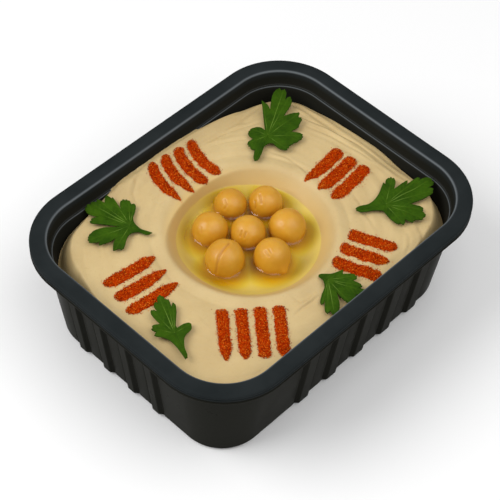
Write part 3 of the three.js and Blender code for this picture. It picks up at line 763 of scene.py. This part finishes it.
# Creases are drawn on the side that faces the photographer, in shares of the radius to the right and up:
# depth in mm, width as a share of the radius, and the points that the crease runs through. A beak has a
# height and a spread, and points along its heading and tilt
facing = {"right": (0.675, -0.738, 0), "up": (0.568, 0.52, 0.638), "towards": (-0.471, -0.431, 0.77)}
chickpeas = [
    {
        "name": "chickpea_middle", "x": -0.8, "y": 1.8, "radius": 6.15,
        "heading": 200, "tilt": -40, "beak": (0.06, 0.3),
        "creases": [
            (0.15, 0.05, ((-0.36, 0.06), (-0.43, -0.23))),
            (0.15, 0.05, ((-0.11, 0), (-0.18, -0.3))),
        ],
    },
    {
        "name": "chickpea_front_left", "x": -15.1, "y": -1.1, "radius": 6.8,
        "heading": 235, "tilt": -20, "beak": (0.05, 0.3),
        "creases": [
            (0.26, 0.06, ((0.19, 0.75), (-0.06, 0.47), (-0.28, 0.09), (-0.37, -0.34), (-0.39, -0.72))),
        ],
    },
    {
        "name": "chickpea_front_right", "x": -2.6, "y": -11.6, "radius": 6.5,
        "heading": 262, "tilt": -12, "beak": (0.19, 0.26),
        "creases": [
            (0.14, 0.05, ((-0.37, 0.24), (-0.2, 0))),
            (0.13, 0.045, ((-0.2, 0.37), (-0.07, 0.17))),
        ],
    },
    {
        "name": "chickpea_left", "x": -9.3, "y": 11.8, "radius": 6.3,
        "heading": 120, "tilt": -45, "beak": (0.06, 0.3),
        "creases": [(0.06, 0.05, ((-0.5, 0.1), (-0.45, -0.2)))],
    },
    {
        "name": "chickpea_right", "x": 10.7, "y": -6, "radius": 6.5,
        "heading": 330, "tilt": -50, "beak": (0.08, 0.3),
        "creases": [(0.06, 0.05, ((-0.35, 0.1), (-0.25, -0.05)))],
    },
    {
        "name": "chickpea_back_left", "x": 4.3, "y": 15.4, "radius": 5.7,
        "heading": 170, "tilt": -35, "beak": (0.06, 0.3),
        "creases": [(0.13, 0.06, ((-0.37, 0.23), (-0.22, -0.08), (-0.34, -0.31)))],
    },
    {
        "name": "chickpea_back_right", "x": 13.6, "y": 7.3, "radius": 6,
        "heading": 190, "tilt": -30, "beak": (0.06, 0.3),
        "creases": [
            (0.2, 0.06, ((-0.37, 0.41), (-0.3, 0.15), (-0.26, -0.07))),
            (0.16, 0.05, ((-0.63, 0.04), (-0.59, -0.41))),
        ],
    },
]


def chickpeaCentre(pea):
    return Vector((pea["x"], pea["y"], well["floor"] + chickpeaLift + pea["radius"]))


def creaseOf(pea, unit):  # how deep each crease cuts, and the painted shade along it
    right, up, towards = (unit @ np.array(facing[key]) for key in ("right", "up", "towards"))
    shown = smoothStep(0, 0.25, towards)
    cut = np.zeros_like(right)
    creaseShade = np.zeros_like(right)
    for depth, width, path in pea["creases"]:
        away = np.full_like(right, 9)
        for (fromU, fromV), (toU, toV) in zip(path, path[1:]):
            runU, runV = toU - fromU, toV - fromV
            along = ((right - fromU) * runU + (up - fromV) * runV) / (runU ** 2 + runV ** 2)
            along = np.clip(along, 0, 1)
            away = np.minimum(away, np.hypot(right - fromU - along * runU, up - fromV - along * runV))
        line = bump(away, width) * shown
        shoulder = 0.35 * bump(away - 2.4 * width, width * 1.4) * shown
        cut = cut + depth * (line - shoulder)
        creaseShade = np.maximum(creaseShade, line * min(depth * 2.2, 0.5))
    return cut, creaseShade


def makeChickpea(pea, seed, material):
    unselect()
    bpy.ops.mesh.primitive_uv_sphere_add(segments=144, ring_count=90, radius=pea["radius"] * mm)
    obj = bpy.context.object
    points = getPoints(obj) / mm
    length = np.linalg.norm(points, axis=1)
    unit = points / length[:, None]
    heading, tilt = math.radians(pea["heading"]), math.radians(pea["tilt"])
    level = math.cos(tilt)
    beak = np.array([math.cos(heading) * level, math.sin(heading) * level, math.sin(tilt)])
    tip = pea["beak"][0] * bump(np.arccos(np.clip(unit @ beak, -1, 1)), pea["beak"][1])
    cut, creaseShade = creaseOf(pea, unit)
    uneven = np.array([noise.noise(Vector(p) * 1.7 + Vector((seed * 5, 0, 0))) for p in unit])
    dimples = np.array([noise.noise(Vector(p) * 4.2 + Vector((0, seed * 3, 0))) for p in unit])
    size = pea["radius"] * (1 + tip + 0.02 * uneven + 0.006 * dimples) - cut
    placed = unit * size[:, None] + np.array(chickpeaCentre(pea))
    setPoints(obj, placed)
    # painted shade along the creases
    setTint(obj, "crease", creaseShade)
    # painted shade, darker towards the bottom of each chickpea, near the oil
    setTint(obj, "low", 0.45 * smoothStep(well["oilLevel"] + 4.2, well["oilLevel"] - 0.5, placed[:, 2]))
    finishPiece(obj, pea["name"] + "_skin", material, [pea["name"]])


# oil

oil = {
    "steps": 520, "ringPitch": 0.25, "brim": 0.35, "creep": 0.75, "creepWidth": 0.7,
    "under": (3, 12, 17, 19, 21, 23),  # the rings of its underside
}


def oilSurface(x, y):  # level with a small rise where it climbs each chickpea
    level = np.full_like(x, well["oilLevel"], dtype=float)
    for pea in chickpeas:
        centre = chickpeaCentre(pea)
        waterline = math.sqrt(pea["radius"] ** 2 - (well["oilLevel"] - centre.z) ** 2)
        away = np.hypot(x - centre.x, y - centre.y) - waterline
        level = level + oil["creep"] * np.exp(-np.maximum(away, 0) / oil["creepWidth"])
    return np.minimum(level, well["oilLevel"] + 1.3 * oil["creep"])


def makeOilPool(material):
    reach = np.arange(well["poolRadius"] + oil["brim"], 0.4, -oil["ringPitch"])
    below = np.array(oil["under"])
    obj = ringStack(oil["steps"], len(reach) + len(below))
    ring, angle = ringsOf(obj)
    radius = np.concatenate([below, reach])[ring] * poolReach(angle) / well["poolRadius"]
    x = well["x"] + radius * np.cos(angle)
    y = well["y"] + radius * np.sin(angle)
    onTop = ring >= len(below)
    z = np.where(onTop, oilSurface(x, y), wellLevel(radius, angle) - 0.3)
    setPoints(obj, np.stack([x, y, z], axis=1))
    closeEnds(obj, ring, (0, len(reach) + len(below) - 1))
    finishPiece(obj, "oil_pool", material, ["oil"])
    obj.visible_shadow = obj.visible_diffuse = False  # light passes through to the paste below
    print("stage: oil")


# parsley

parsley = {
    "thickness": 0.28, "rings": 30, "pointGap": 0.22, "clearance": 0.3, "bladeHalf": 0.175,
    "ribPitch": 1.7, "toothPitch": 1.6, "toothDepth": 0.65, "stalkHalf": 0.6, "veinPoints": 20,
    # each line's share of its way, thickness at its start and end, and lift
    "stalkLine": (1, 0.3, 0.45, 0), "longVein": (0.92, 0.17, 0.08, -0.02),
    "shortVein": (0.85, 0.14, 0.05, -0.01),
}
# Each leaf opens round the point where its veins part. Its outline turns anticlockwise from the stalk's
# end, and its veins run to the points given, in mm from that point
leaves = [
    {
        "name": "parsley_top", "x": 33.7, "y": 26, "level": 39.6, "stalk": (-11.9, -5.3),
        "veins": (
            (0, -9.6), (8.9, -8.6), (16, -0.1), (21, 12), (19.4, 8), (10.9, 13), (-1.8, 6), (-7.8, 2.2),
        ),
        "outline": [
            (-12.2, -5.7), (-11.5, -6), (-5.3, -3.2), (-3.4, -3), (-2, -3.5), (-1.5, -4.3),
            (-1.7, -7.6), (-1.1, -9.1), (0, -9.9), (1.9, -9.3), (8.5, -9.4), (9.5, -8.1), (7.4, -4.7),
            (11.9, -4.6), (11.9, -4.2), (14.8, -3), (15.1, -2.3), (14.7, -1.3), (16.4, -0.1), (15.2, 1),
            (11.1, 2.6), (17.9, 5.2), (19.9, 7.5), (19.8, 8.1), (17.7, 8.1), (20.3, 10.1), (21.4, 11.9),
            (20, 12.3), (20.2, 13.6), (17.3, 13.5), (10.1, 8.6), (11.2, 11.1), (11.1, 13.8), (1.1, 2.5),
            (0.9, 4.3), (-0.7, 6), (-1.9, 6.5), (-4.1, 5.9), (-4.8, 4.9), (-5, 2.5), (-7.4, 2.7),
            (-8.3, 2.1), (-9.1, -2.1), (-12.1, -4.9),
        ],
    },
    {
        "name": "parsley_right", "x": 39.8, "y": -25.2, "level": 39.4, "stalk": (-9.4, 5),
        "veins": (
            (-2.4, -10.2), (4.3, -13.4), (7.4, -10.4), (16.6, -7.4), (20, -3.6), (17.4, 0), (10.6, 6.4),
        ),
        "outline": [
            (-9.4, 5.7), (-9.7, 4.4), (-5, 0.6), (-3.2, -1.5), (-4, -5.9), (-3.7, -9.3), (-3.5, -9.7),
            (-2.9, -9.3), (-2.7, -10.7), (-2, -10.7), (-0.5, -9.6), (0.4, -12.2), (1.9, -12.1),
            (4.1, -13.8), (6.2, -13.1), (6.8, -11.2), (7.7, -10.9), (8.2, -9.9), (6.4, -6.1),
            (13, -8.1), (15.7, -8.1), (17.4, -7), (16.9, -5.6), (19, -5.7), (20.3, -4.2), (20, -2.4),
            (17.2, -1), (17.9, 0), (17.5, 0.3), (12.6, 0.9), (13.8, 1.8), (13.3, 2), (7.6, 2.6),
            (10.9, 5.1), (11, 6.7), (8.9, 7.5), (7.3, 6.6), (7, 7.2), (6.2, 6.9), (1.3, 4.6), (-1.4, 4),
            (-4, 4.2), (-7.6, 5.7),
        ],
    },
    {
        "name": "parsley_left", "x": -30.5, "y": 29.5, "level": 39.3, "stalk": (2.5, -7.4),
        "veins": (
            (7.3, 5.8), (6.9, 8), (4.2, 13.1), (0.1, 16.2), (-2.8, 16.6), (-5.8, 15.6), (-14.4, 4.8),
            (-11, -4.3),
        ),
        "outline": [
            (3.2, -7.7), (1.6, -3.1), (1.8, -0.4), (3, 1.6), (7.7, 5.4), (7.8, 6.1), (6.8, 6.6),
            (7.4, 8.3), (5.8, 10.4), (4.2, 9.6), (2.9, 7.8), (4.4, 13.1), (4.5, 13.7), (3.9, 13.5),
            (3.6, 15.8), (2.4, 15.3), (0.7, 13.6), (0, 16.8), (-0.9, 16), (-2.8, 17.1), (-5.9, 16.4),
            (-6.7, 13.9), (-5.3, 10.5), (-7.6, 11.4), (-8.9, 10.5), (-8, 8.8), (-2.2, 1.7), (-9.2, 6.6),
            (-11, 6.9), (-13.9, 6), (-15.1, 4.6), (-14.9, 3.7), (-12.8, 1.8), (-13.6, 0.7),
            (-10.1, -0.6), (-7.5, -0.8), (-9.6, -2), (-11.9, -4.3), (-9.8, -4.8), (-9.5, -5.9),
            (-3.7, -3.2), (-1.9, -3.1), (0.2, -4.2), (1.6, -7.3),
        ],
    },
    {
        "name": "parsley_bottom_left", "x": -51.7, "y": -14.6, "level": 39.8, "stalk": (-4.3, -9.8),
        "veins": ((6.2, -0.8), (8, 9.2), (7.8, 12), (6.6, 14.4), (1, 11.6), (-3.9, 6.4)),
        "outline": [
            (-5, -10.1), (-3.9, -9.9), (-1.7, -6.3), (0.8, -3.7), (2.4, -3), (5.1, -2.5), (6.3, -1.3),
            (6.6, -0.5), (4.9, 0.6), (2.1, 1.1), (2.6, 2.3), (7.8, 7.5), (8.5, 8.7), (8.4, 9.7),
            (6.9, 8.9), (8.2, 11.5), (8.2, 12.1), (7.4, 12.3), (7.6, 13.9), (7, 14.8), (6.4, 14.9),
            (4.8, 13.3), (4.1, 13.7), (2.9, 13.1), (1.9, 10.5), (1.3, 12.1), (0.1, 11.7), (-0.6, 9.5),
            (-0.9, 6.1), (-3, 7.3), (-4.2, 6.8), (-4.5, 6), (-4.1, 4.4), (-5.5, 3.9), (-5.4, 3.2),
            (-4.2, 1.4), (-3.3, -0.9), (-3.3, -3.4),
        ],
    },
    {
        "name": "parsley_bottom_right", "x": 0.8, "y": -34, "level": 39.2, "stalk": (-1, 3.2),
        "veins": (
            (-8.8, -5.5), (-10.3, -9.3), (-9.2, -11.4), (-2, -12), (4.9, -11.6), (6.2, -9.5),
            (7.5, -5.2),
        ),
        "outline": [
            (-1.3, 3.2), (-1.3, 1.4), (-2.3, -0.4), (-3.3, -1.4), (-9.1, -4.9), (-9.3, -5.5),
            (-8.9, -5.8), (-7.3, -5.3), (-10.7, -8.7), (-10.8, -9.6), (-9.3, -9.7), (-9.8, -11),
            (-9.6, -11.7), (-8.8, -12), (-7.5, -11.6), (-5.1, -10), (-1.9, -5.6), (-2.6, -10.7),
            (-2, -12.3), (0.5, -12), (1.8, -11.4), (3.4, -12.1), (5.7, -12), (5, -9.6), (6.3, -9.9),
            (6.6, -9.2), (5.6, -6.2), (6.9, -6.6), (8, -5.6), (7.9, -4.8), (5.3, -1.8), (7.1, -0.6),
            (2.4, 1), (-0.6, 3.5),
        ],
    },
]


def leafOutline(leaf):  # a curve through the outline's points, with crisp notches
    keys = np.array(leaf["outline"])
    run = np.roll(keys, -1, axis=0) - keys
    length = np.hypot(run[:, 0], run[:, 1])[:, None]
    leaving = run / length
    arriving = np.roll(leaving, 1, axis=0)
    bend = np.degrees(np.arctan2(np.cross(arriving, leaving), (arriving * leaving).sum(axis=1)))
    crisp = (bend < -35) | (bend > 105)
    tangent = arriving + leaving
    tangent = tangent / np.maximum(np.hypot(tangent[:, 0], tangent[:, 1])[:, None], 0.01)
    tangent = tangent * (1 - 0.4 * np.abs(bend)[:, None] / 180)
    points = []
    for index in range(len(keys)):
        after = (index + 1) % len(keys)
        startPull = (leaving[index] if crisp[index] else tangent[index]) * length[index]
        endPull = (leaving[index] if crisp[after] else tangent[after]) * length[index]
        steps = max(2, round(float(length[index, 0]) / parsley["pointGap"]))
        for t in np.arange(steps) / steps:
            points.append(
                (2 * t ** 3 - 3 * t ** 2 + 1) * keys[index] + (t ** 3 - 2 * t ** 2 + t) * startPull
                + (3 * t ** 2 - 2 * t ** 3) * keys[after] + (t ** 3 - t ** 2) * endPull
            )
    return toothed(np.array(points))


def toothed(points):  # small notches across the lobes' ends
    ahead = np.roll(points, -1, axis=0) - np.roll(points, 1, axis=0)
    along = np.cumsum(np.hypot(ahead[:, 0], ahead[:, 1])) / 2
    reach = np.hypot(points[:, 0], points[:, 1])
    outwards = points / reach[:, None]
    across = np.abs(outwards[:, 0] * ahead[:, 1] - outwards[:, 1] * ahead[:, 0])
    across = across / np.hypot(ahead[:, 0], ahead[:, 1])
    phase = (along / parsley["toothPitch"] + 0.35 * np.sin(along * 0.9)) % 1
    notch = parsley["toothDepth"] * bump(phase - 0.5, 0.15) * across ** 2 * smoothStep(5, 9, reach)
    return points - outwards * notch[:, None]


def leafLevel(leaf, u, v):
    x = leaf["x"] + u
    y = leaf["y"] + v
    wave = 0.22 * np.sin(0.55 * u + 0.9) * np.cos(0.5 * v - leaf["x"])
    lowest = hummusLevel(x, y) + parsley["clearance"] + parsley["bladeHalf"] + 0.15
    return softMax(leaf["level"] + wave, lowest, 0.5)


def toVeins(leaf, u, v):  # distance from the nearest vein, and how far along it
    away = np.full_like(u, 99)
    along = np.zeros_like(u)
    for tipU, tipV in leaf["veins"]:
        share = np.clip((u * tipU + v * tipV) / (tipU ** 2 + tipV ** 2), 0, 0.95)
        gap = np.hypot(u - share * tipU, v - share * tipV)
        along = np.where(gap < away, share * math.hypot(tipU, tipV), along)
        away = np.minimum(away, gap)
    return away, along


def makeLeaf(leaf, blade, vein):
    outline = leafOutline(leaf)
    rings = parsley["rings"]
    obj = ringStack(len(outline), rings)
    ring, angle = ringsOf(obj)
    step = np.rint((angle % (2 * math.pi)) / (2 * math.pi) * len(outline)).astype(int) % len(outline)
    share = 1 - (ring / rings) ** 0.9
    u = outline[step, 0] * share
    v = outline[step, 1] * share
    away, along = toVeins(leaf, u, v)
    lift = 0.14 * smoothStep(0, 1.6, away) - 0.08
    curl = -0.2 * smoothStep(0.75, 1, share) * smoothNoise(u, v, 5, 6)
    puckers = 0.06 * smoothNoise(u, v, 1.5, 15) * smoothStep(0.2, 0.8, away)
    z = leafLevel(leaf, u, v) + (lift + curl + puckers) * smoothStep(0.02, 0.3, share)
    setPoints(obj, np.stack([leaf["x"] + u, leaf["y"] + v, z], axis=1))
    closeEnds(obj, ring, (rings - 1,))
    setTint(obj, "rim", smoothStep(0.93, 1, share) * 0.6)
    phase = ((along - 1.1 * away) / parsley["ribPitch"]) % 1
    ribs = 0.2 * bump(phase - 0.5, 0.1) * smoothStep(0.1, 0.4, away) * smoothStep(2.8, 1.4, away)
    setTint(obj, "ribbed", ribs + 0.25 * bump(away, 0.2))
    solidify = obj.modifiers.new("blade", 'SOLIDIFY')
    solidify.thickness = parsley["thickness"] * mm
    solidify.offset = 0
    bpy.ops.object.modifier_apply(modifier=solidify.name)
    veins = makeVeins(leaf)
    obj.data.materials.append(blade)
    obj.data.materials.append(vein)
    unselect()
    veins.data.materials.append(blade)
    veins.data.materials.append(vein)
    stalk = Vector(leaf["stalk"]).normalized()
    for face in veins.data.polygons:  # the stalk keeps the blade's colour
        place = Vector((face.center.x / mm - leaf["x"], face.center.y / mm - leaf["y"]))
        onStalk = place.dot(stalk) > 0 and abs(place.cross(stalk)) < parsley["stalkHalf"]
        face.material_index = 0 if onStalk else 1
    veins.select_set(True)
    obj.select_set(True)
    bpy.context.view_layer.objects.active = obj
    bpy.ops.object.join()
    finishPiece(bpy.context.object, leaf["name"] + "_leaf", None, [leaf["name"]], 42)


def makeVeins(leaf):  # the round stalk and the veins, as one curve object turned to mesh
    curve = bpy.data.curves.new("veins", 'CURVE')
    curve.dimensions = '3D'
    curve.bevel_depth = mm
    curve.bevel_resolution = 2
    curve.use_fill_caps = True
    lines = [(leaf["stalk"], parsley["stalkLine"])]
    longest = max(leaf["veins"], key=lambda tip: math.hypot(*tip))
    for tip in leaf["veins"]:
        lines.append((tip, parsley["longVein"] if tip == longest else parsley["shortVein"]))
    last = parsley["veinPoints"] - 1
    for end, (reach, thick, thin, lift) in lines:
        spline = curve.splines.new('POLY')
        spline.points.add(last)  # it starts with one
        for index, point in enumerate(spline.points):
            share = index / last
            u, v = end[0] * share * reach, end[1] * share * reach
            z = float(leafLevel(leaf, np.array([u]), np.array([v]))[0]) + lift
            point.co = ((leaf["x"] + u) * mm, (leaf["y"] + v) * mm, z * mm, 1)
            point.radius = mix(thick, thin, share ** 0.7)
    obj = bpy.data.objects.new("veins", curve)
    bpy.context.scene.collection.objects.link(obj)
    unselect()
    obj.select_set(True)
    bpy.context.view_layer.objects.active = obj
    bpy.ops.object.convert(target='MESH')
    return bpy.context.object


# paprika

paprika = {
    "height": 0.5, "moundSteps": (104, 22), "moundDepth": 0.5,
    "seed": 17, "grains": 1080, "stray": 55, "grainRadius": (0.12, 0.25), "tintSpread": 0.34,
}
stripeGroups = [
    # middle of the group, step from one stripe to the next, heading, length, width, bow to one side,
    # and for each stripe the share of its length over which its start and its end narrow
    {
        "middle": (1.8, 35.7), "step": (-6, 0.4), "heading": -98.8,
        "length": 17.4, "width": 4.1, "bow": -1.3,
        "tapers": ((0.14, 0.16), (0.1, 0.16), (0.12, 0.45), (0.16, 0.5)),
    },
    {
        "middle": (38.9, -2.8), "step": (0.4, -6.1), "heading": -175.2,
        "length": 19.6, "width": 4.8, "bow": 0.5,
        "tapers": ((0.1, 0.5), (0.12, 0.3), (0.12, 0.22)),
    },
    {
        "middle": (18.6, -34.7), "step": (-6.5, -2.2), "heading": -67.3,
        "length": 16.8, "width": 4.6, "bow": -0.3,
        "tapers": ((0.06, 0.14), (0.06, 0.3), (0.1, 0.12)),
    },
    {
        "middle": (-32.3, -31.2), "step": (4.9, -4), "heading": -130.5,
        "length": 20, "width": 4.1, "bow": 0,
        "tapers": ((0.06, 0.3), (0.06, 0.22), (0.06, 0.08), (0.08, 0.2)),
    },
    {
        "middle": (-44.6, 9.1), "step": (-1.1, -6.7), "heading": -8,
        "length": 20, "width": 4.6, "bow": -0.5,
        "tapers": ((0.2, 0.3), (0.12, 0.45), (0.2, 0.4)),
    },
]


def allStripes():
    stripes = []
    for group in stripeGroups:
        count = len(group["tapers"])
        for index, tapers in enumerate(group["tapers"]):
            offset = index - (count - 1) / 2
            stripe = dict(group, tapers=tapers, heading=math.radians(group["heading"]))
            stripe["x"] = group["middle"][0] + group["step"][0] * offset
            stripe["y"] = group["middle"][1] + group["step"][1] * offset
            stripes.append(stripe)
    return stripes


def stripeWidth(stripe, share, seed):  # half width at a share of the length
    start, end = stripe["tapers"]
    fromStart = np.clip((share + 0.012) / start, 0.02, 1)
    fromEnd = np.clip((1.012 - share) / end, 0.02, 1)
    taper = np.sin(fromStart * math.pi / 2) ** 0.6 * np.sin(fromEnd * math.pi / 2) ** 0.75
    waves = smoothNoise(share * stripe["length"], np.full_like(share, seed * 3), 2.4, 8)
    fray = smoothNoise(share * stripe["length"], np.full_like(share, seed * 3), 0.6, 11)
    return stripe["width"] / 2 * taper * (1 + 0.09 * waves + 0.05 * fray)


def stripePoint(stripe, share, side):
    alongX, alongY = math.cos(stripe["heading"]), math.sin(stripe["heading"])
    run = (share - 0.5) * stripe["length"]
    across = side + stripe["bow"] * (1 - (2 * share - 1) ** 2)
    x = stripe["x"] + alongX * run - alongY * across
    y = stripe["y"] + alongY * run + alongX * across
    return x, y


def stripeRise(share, sideShare):  # how high the powder lies, from its middle to its edge
    ends = smoothStep(-0.01, 0.05, share) * smoothStep(1.01, 0.95, share)
    return paprika["height"] * ends * np.clip(1 - np.abs(sideShare) ** 3.5, 0, 1)


def joinedMesh(name, points, faces):
    mesh = bpy.data.meshes.new(name)
    mesh.from_pydata([tuple(p) for p in points * mm], [], faces)
    mesh.update()
    obj = bpy.data.objects.new(name, mesh)
    bpy.context.scene.collection.objects.link(obj)
    return obj


def makePaprikaMounds(material):
    rows, columns = paprika["moundSteps"]
    points, faces, tints = [], [], []
    for seed, stripe in enumerate(allStripes()):
        along, across = np.linspace(0, 1, rows + 1), np.linspace(-1, 1, columns + 1)
        share, side = np.meshgrid(along, across, indexing='ij')
        half = stripeWidth(stripe, share, seed)
        x, y = stripePoint(stripe, share, side * half)
        rough = 0.18 * smoothNoise(x, y, 0.4, 9)
        edge = (np.abs(side) > 0.99) | (share < 0.001) | (share > 0.999)
        rise = np.where(edge, -0.25, stripeRise(share, side) + rough * 0.9 + 0.05)
        base = hummusLevel(x, y)
        first = len(points)
        tops = np.stack([x, y, base + rise], axis=-1).reshape(-1, 3)
        bottoms = np.stack([x, y, base - paprika["moundDepth"]], axis=-1).reshape(-1, 3)
        below = len(tops)
        points.extend(tops)
        points.extend(bottoms)
        tints.extend(0.4 + 0.25 * smoothNoise(x, y, 0.5, 10).ravel())
        tints.extend([0.3] * below)
        stride = columns + 1
        for row in range(rows):
            for column in range(columns):
                a = first + row * stride + column
                quad = (a, a + stride, a + stride + 1, a + 1)
                faces.append(quad)
                faces.append(tuple(corner + below for corner in reversed(quad)))
        border = [first + c for c in range(columns)]
        border += [first + r * stride + columns for r in range(rows)]
        border += [first + rows * stride + c for c in range(columns, 0, -1)]
        border += [first + r * stride for r in range(rows, 0, -1)]
        for here, there in zip(border, border[1:] + border[:1]):
            faces.append((here, there, there + below, here + below))
    obj = joinedMesh("mounds", np.array(points), faces)
    setTint(obj, "tint", tints)
    finishPiece(obj, "paprika_mounds", material)
    print("stage: paprika mounds", len(faces), "faces")


def grainShape():  # a lumpy grain with eight faces
    points = [(1, 0, 0), (-1, 0, 0), (0, 1, 0), (0, -1, 0), (0, 0, 1), (0, 0, -1)]
    faces = [(0, 2, 4), (2, 1, 4), (1, 3, 4), (3, 0, 4), (2, 0, 5), (1, 2, 5), (3, 1, 5), (0, 3, 5)]
    return np.array(points, dtype=float), np.array(faces)


def makePaprikaGrains(material):
    draw = random.Random(paprika["seed"])
    shape, shapeFaces = grainShape()
    points, faces, tints = [], [], []
    for seed, stripe in enumerate(allStripes()):
        total = paprika["grains"] + paprika["stray"]
        share = np.array([draw.uniform(0, 1) for _ in range(total)])
        side = np.array([draw.uniform(-1, 1) for _ in range(total)])
        spill = np.array([draw.gauss(0, 1) for _ in range(total)])
        stray = np.arange(total) >= paprika["grains"]
        side = np.where(stray, np.sign(side) * (1.05 + 0.25 * np.abs(spill)), side * 1.1)
        half = stripeWidth(stripe, share, seed)
        x, y = stripePoint(stripe, share * 1.04 - 0.02 + np.where(stray, spill * 0.03, 0), side * half)
        height = hummusLevel(x, y) + np.where(stray, 0, stripeRise(share, side)) + 0.1
        for index in range(total):
            size = draw.uniform(*paprika["grainRadius"]) * (0.75 if stray[index] else 1)
            stretch = Vector((draw.uniform(0.8, 1.3), draw.uniform(0.7, 1.1), draw.uniform(0.6, 1)))
            axis = Vector([draw.gauss(0, 1) for _ in range(3)]).normalized()
            turn = Matrix.Rotation(draw.uniform(0, 6.28), 3, axis)
            spun = np.array(turn) @ (shape * np.array(stretch) * size).T
            faces.extend(tuple(f) for f in shapeFaces + len(points))
            place = (x[index], y[index], height[index] + draw.uniform(-0.08, 0.2))
            points.extend(spun.T + np.array(place))
            tints.extend([min(max(draw.gauss(0.5, paprika["tintSpread"]), 0), 1)] * len(shape))
    obj = joinedMesh("grains", np.array(points), faces)
    setTint(obj, "tint", tints)
    finishPiece(obj, "paprika_grains", material, smoothAngle=20)
    print("stage: paprika grains", len(faces), "faces")


# camera, light and floor

shot = {
    "azimuth": -47.571, "elevation": 50.34, "roll": 2.593, "lens": 122, "sensor": 36,
    "target": (-12.279, -9.954, 45), "distance": 567.23,
}
studio = {"world": 0.46, "floorSize": 3000, "lampAim": (0, 0, 30)}
lights = [
    {"name": "key", "place": (-560, 380, 740), "size": 700, "power": 5.7},
    {"name": "frontFill", "place": (70, -440, 830), "size": 1000, "power": 3.9},
]


def placeCamera():
    azimuth, elevation, roll = (math.radians(shot[key]) for key in ("azimuth", "elevation", "roll"))
    level = math.cos(elevation)
    back = Vector((math.sin(azimuth) * level, -math.cos(azimuth) * level, math.sin(elevation)))
    right = Vector((math.cos(azimuth), math.sin(azimuth), 0))
    up = back.cross(right)
    turnedRight = right * math.cos(roll) + up * math.sin(roll)
    turnedUp = up * math.cos(roll) - right * math.sin(roll)
    data = bpy.data.cameras.new("camera")
    data.lens = shot["lens"]
    data.sensor_width = shot["sensor"]
    data.clip_start = 10 * mm
    data.clip_end = 20000 * mm
    camera = bpy.data.objects.new("camera", data)
    bpy.context.scene.collection.objects.link(camera)
    turn = Matrix((turnedRight, turnedUp, back)).transposed().to_4x4()
    place = (Vector(shot["target"]) + back * shot["distance"]) * mm
    camera.matrix_world = Matrix.Translation(place) @ turn
    bpy.context.scene.camera = camera


def placeLights():
    for light in lights:
        data = bpy.data.lights.new(light["name"], 'AREA')
        data.shape = 'DISK'
        data.size = light["size"] * mm
        data.energy = light["power"]
        lamp = bpy.data.objects.new(light["name"], data)
        place = Vector(light["place"])
        lamp.location = place * mm
        aim = place - Vector(studio["lampAim"])
        lamp.rotation_euler = aim.to_track_quat('Z', 'Y').to_euler()
        bpy.context.scene.collection.objects.link(lamp)
    world = bpy.data.worlds.new("studio")
    world.use_nodes = True
    background = world.node_tree.nodes["Background"]
    background.inputs["Color"].default_value = (1, 1, 1, 1)
    background.inputs["Strength"].default_value = studio["world"]
    bpy.context.scene.world = world
    bpy.context.scene.view_settings.view_transform = 'Standard'


def layFloor():
    unselect()
    bpy.ops.mesh.primitive_plane_add(size=studio["floorSize"] * mm, location=(0, 0, 0))
    floor = bpy.context.object
    floor.name = "floor"
    floor.data.materials.append(makeFloorPaper())


makeTray(makeTrayPlastic())
makeHummus(makeHummusPaste())
skin = makeChickpeaSkin()
for number, pea in enumerate(chickpeas):
    makeChickpea(pea, number + 1, skin)
print("stage: chickpeas")
makeOilPool(makeOil())
bladeMaterial, veinMaterial = makeParsleyBlade(), makeParsleyVein()
for leaf in leaves:
    makeLeaf(leaf, bladeMaterial, veinMaterial)
print("stage: parsley")
paprikaMaterial = makePaprika()
makePaprikaMounds(paprikaMaterial)
makePaprikaGrains(paprikaMaterial)
placeCamera()
placeLights()
layFloor()
print("stage: camera, light and floor")
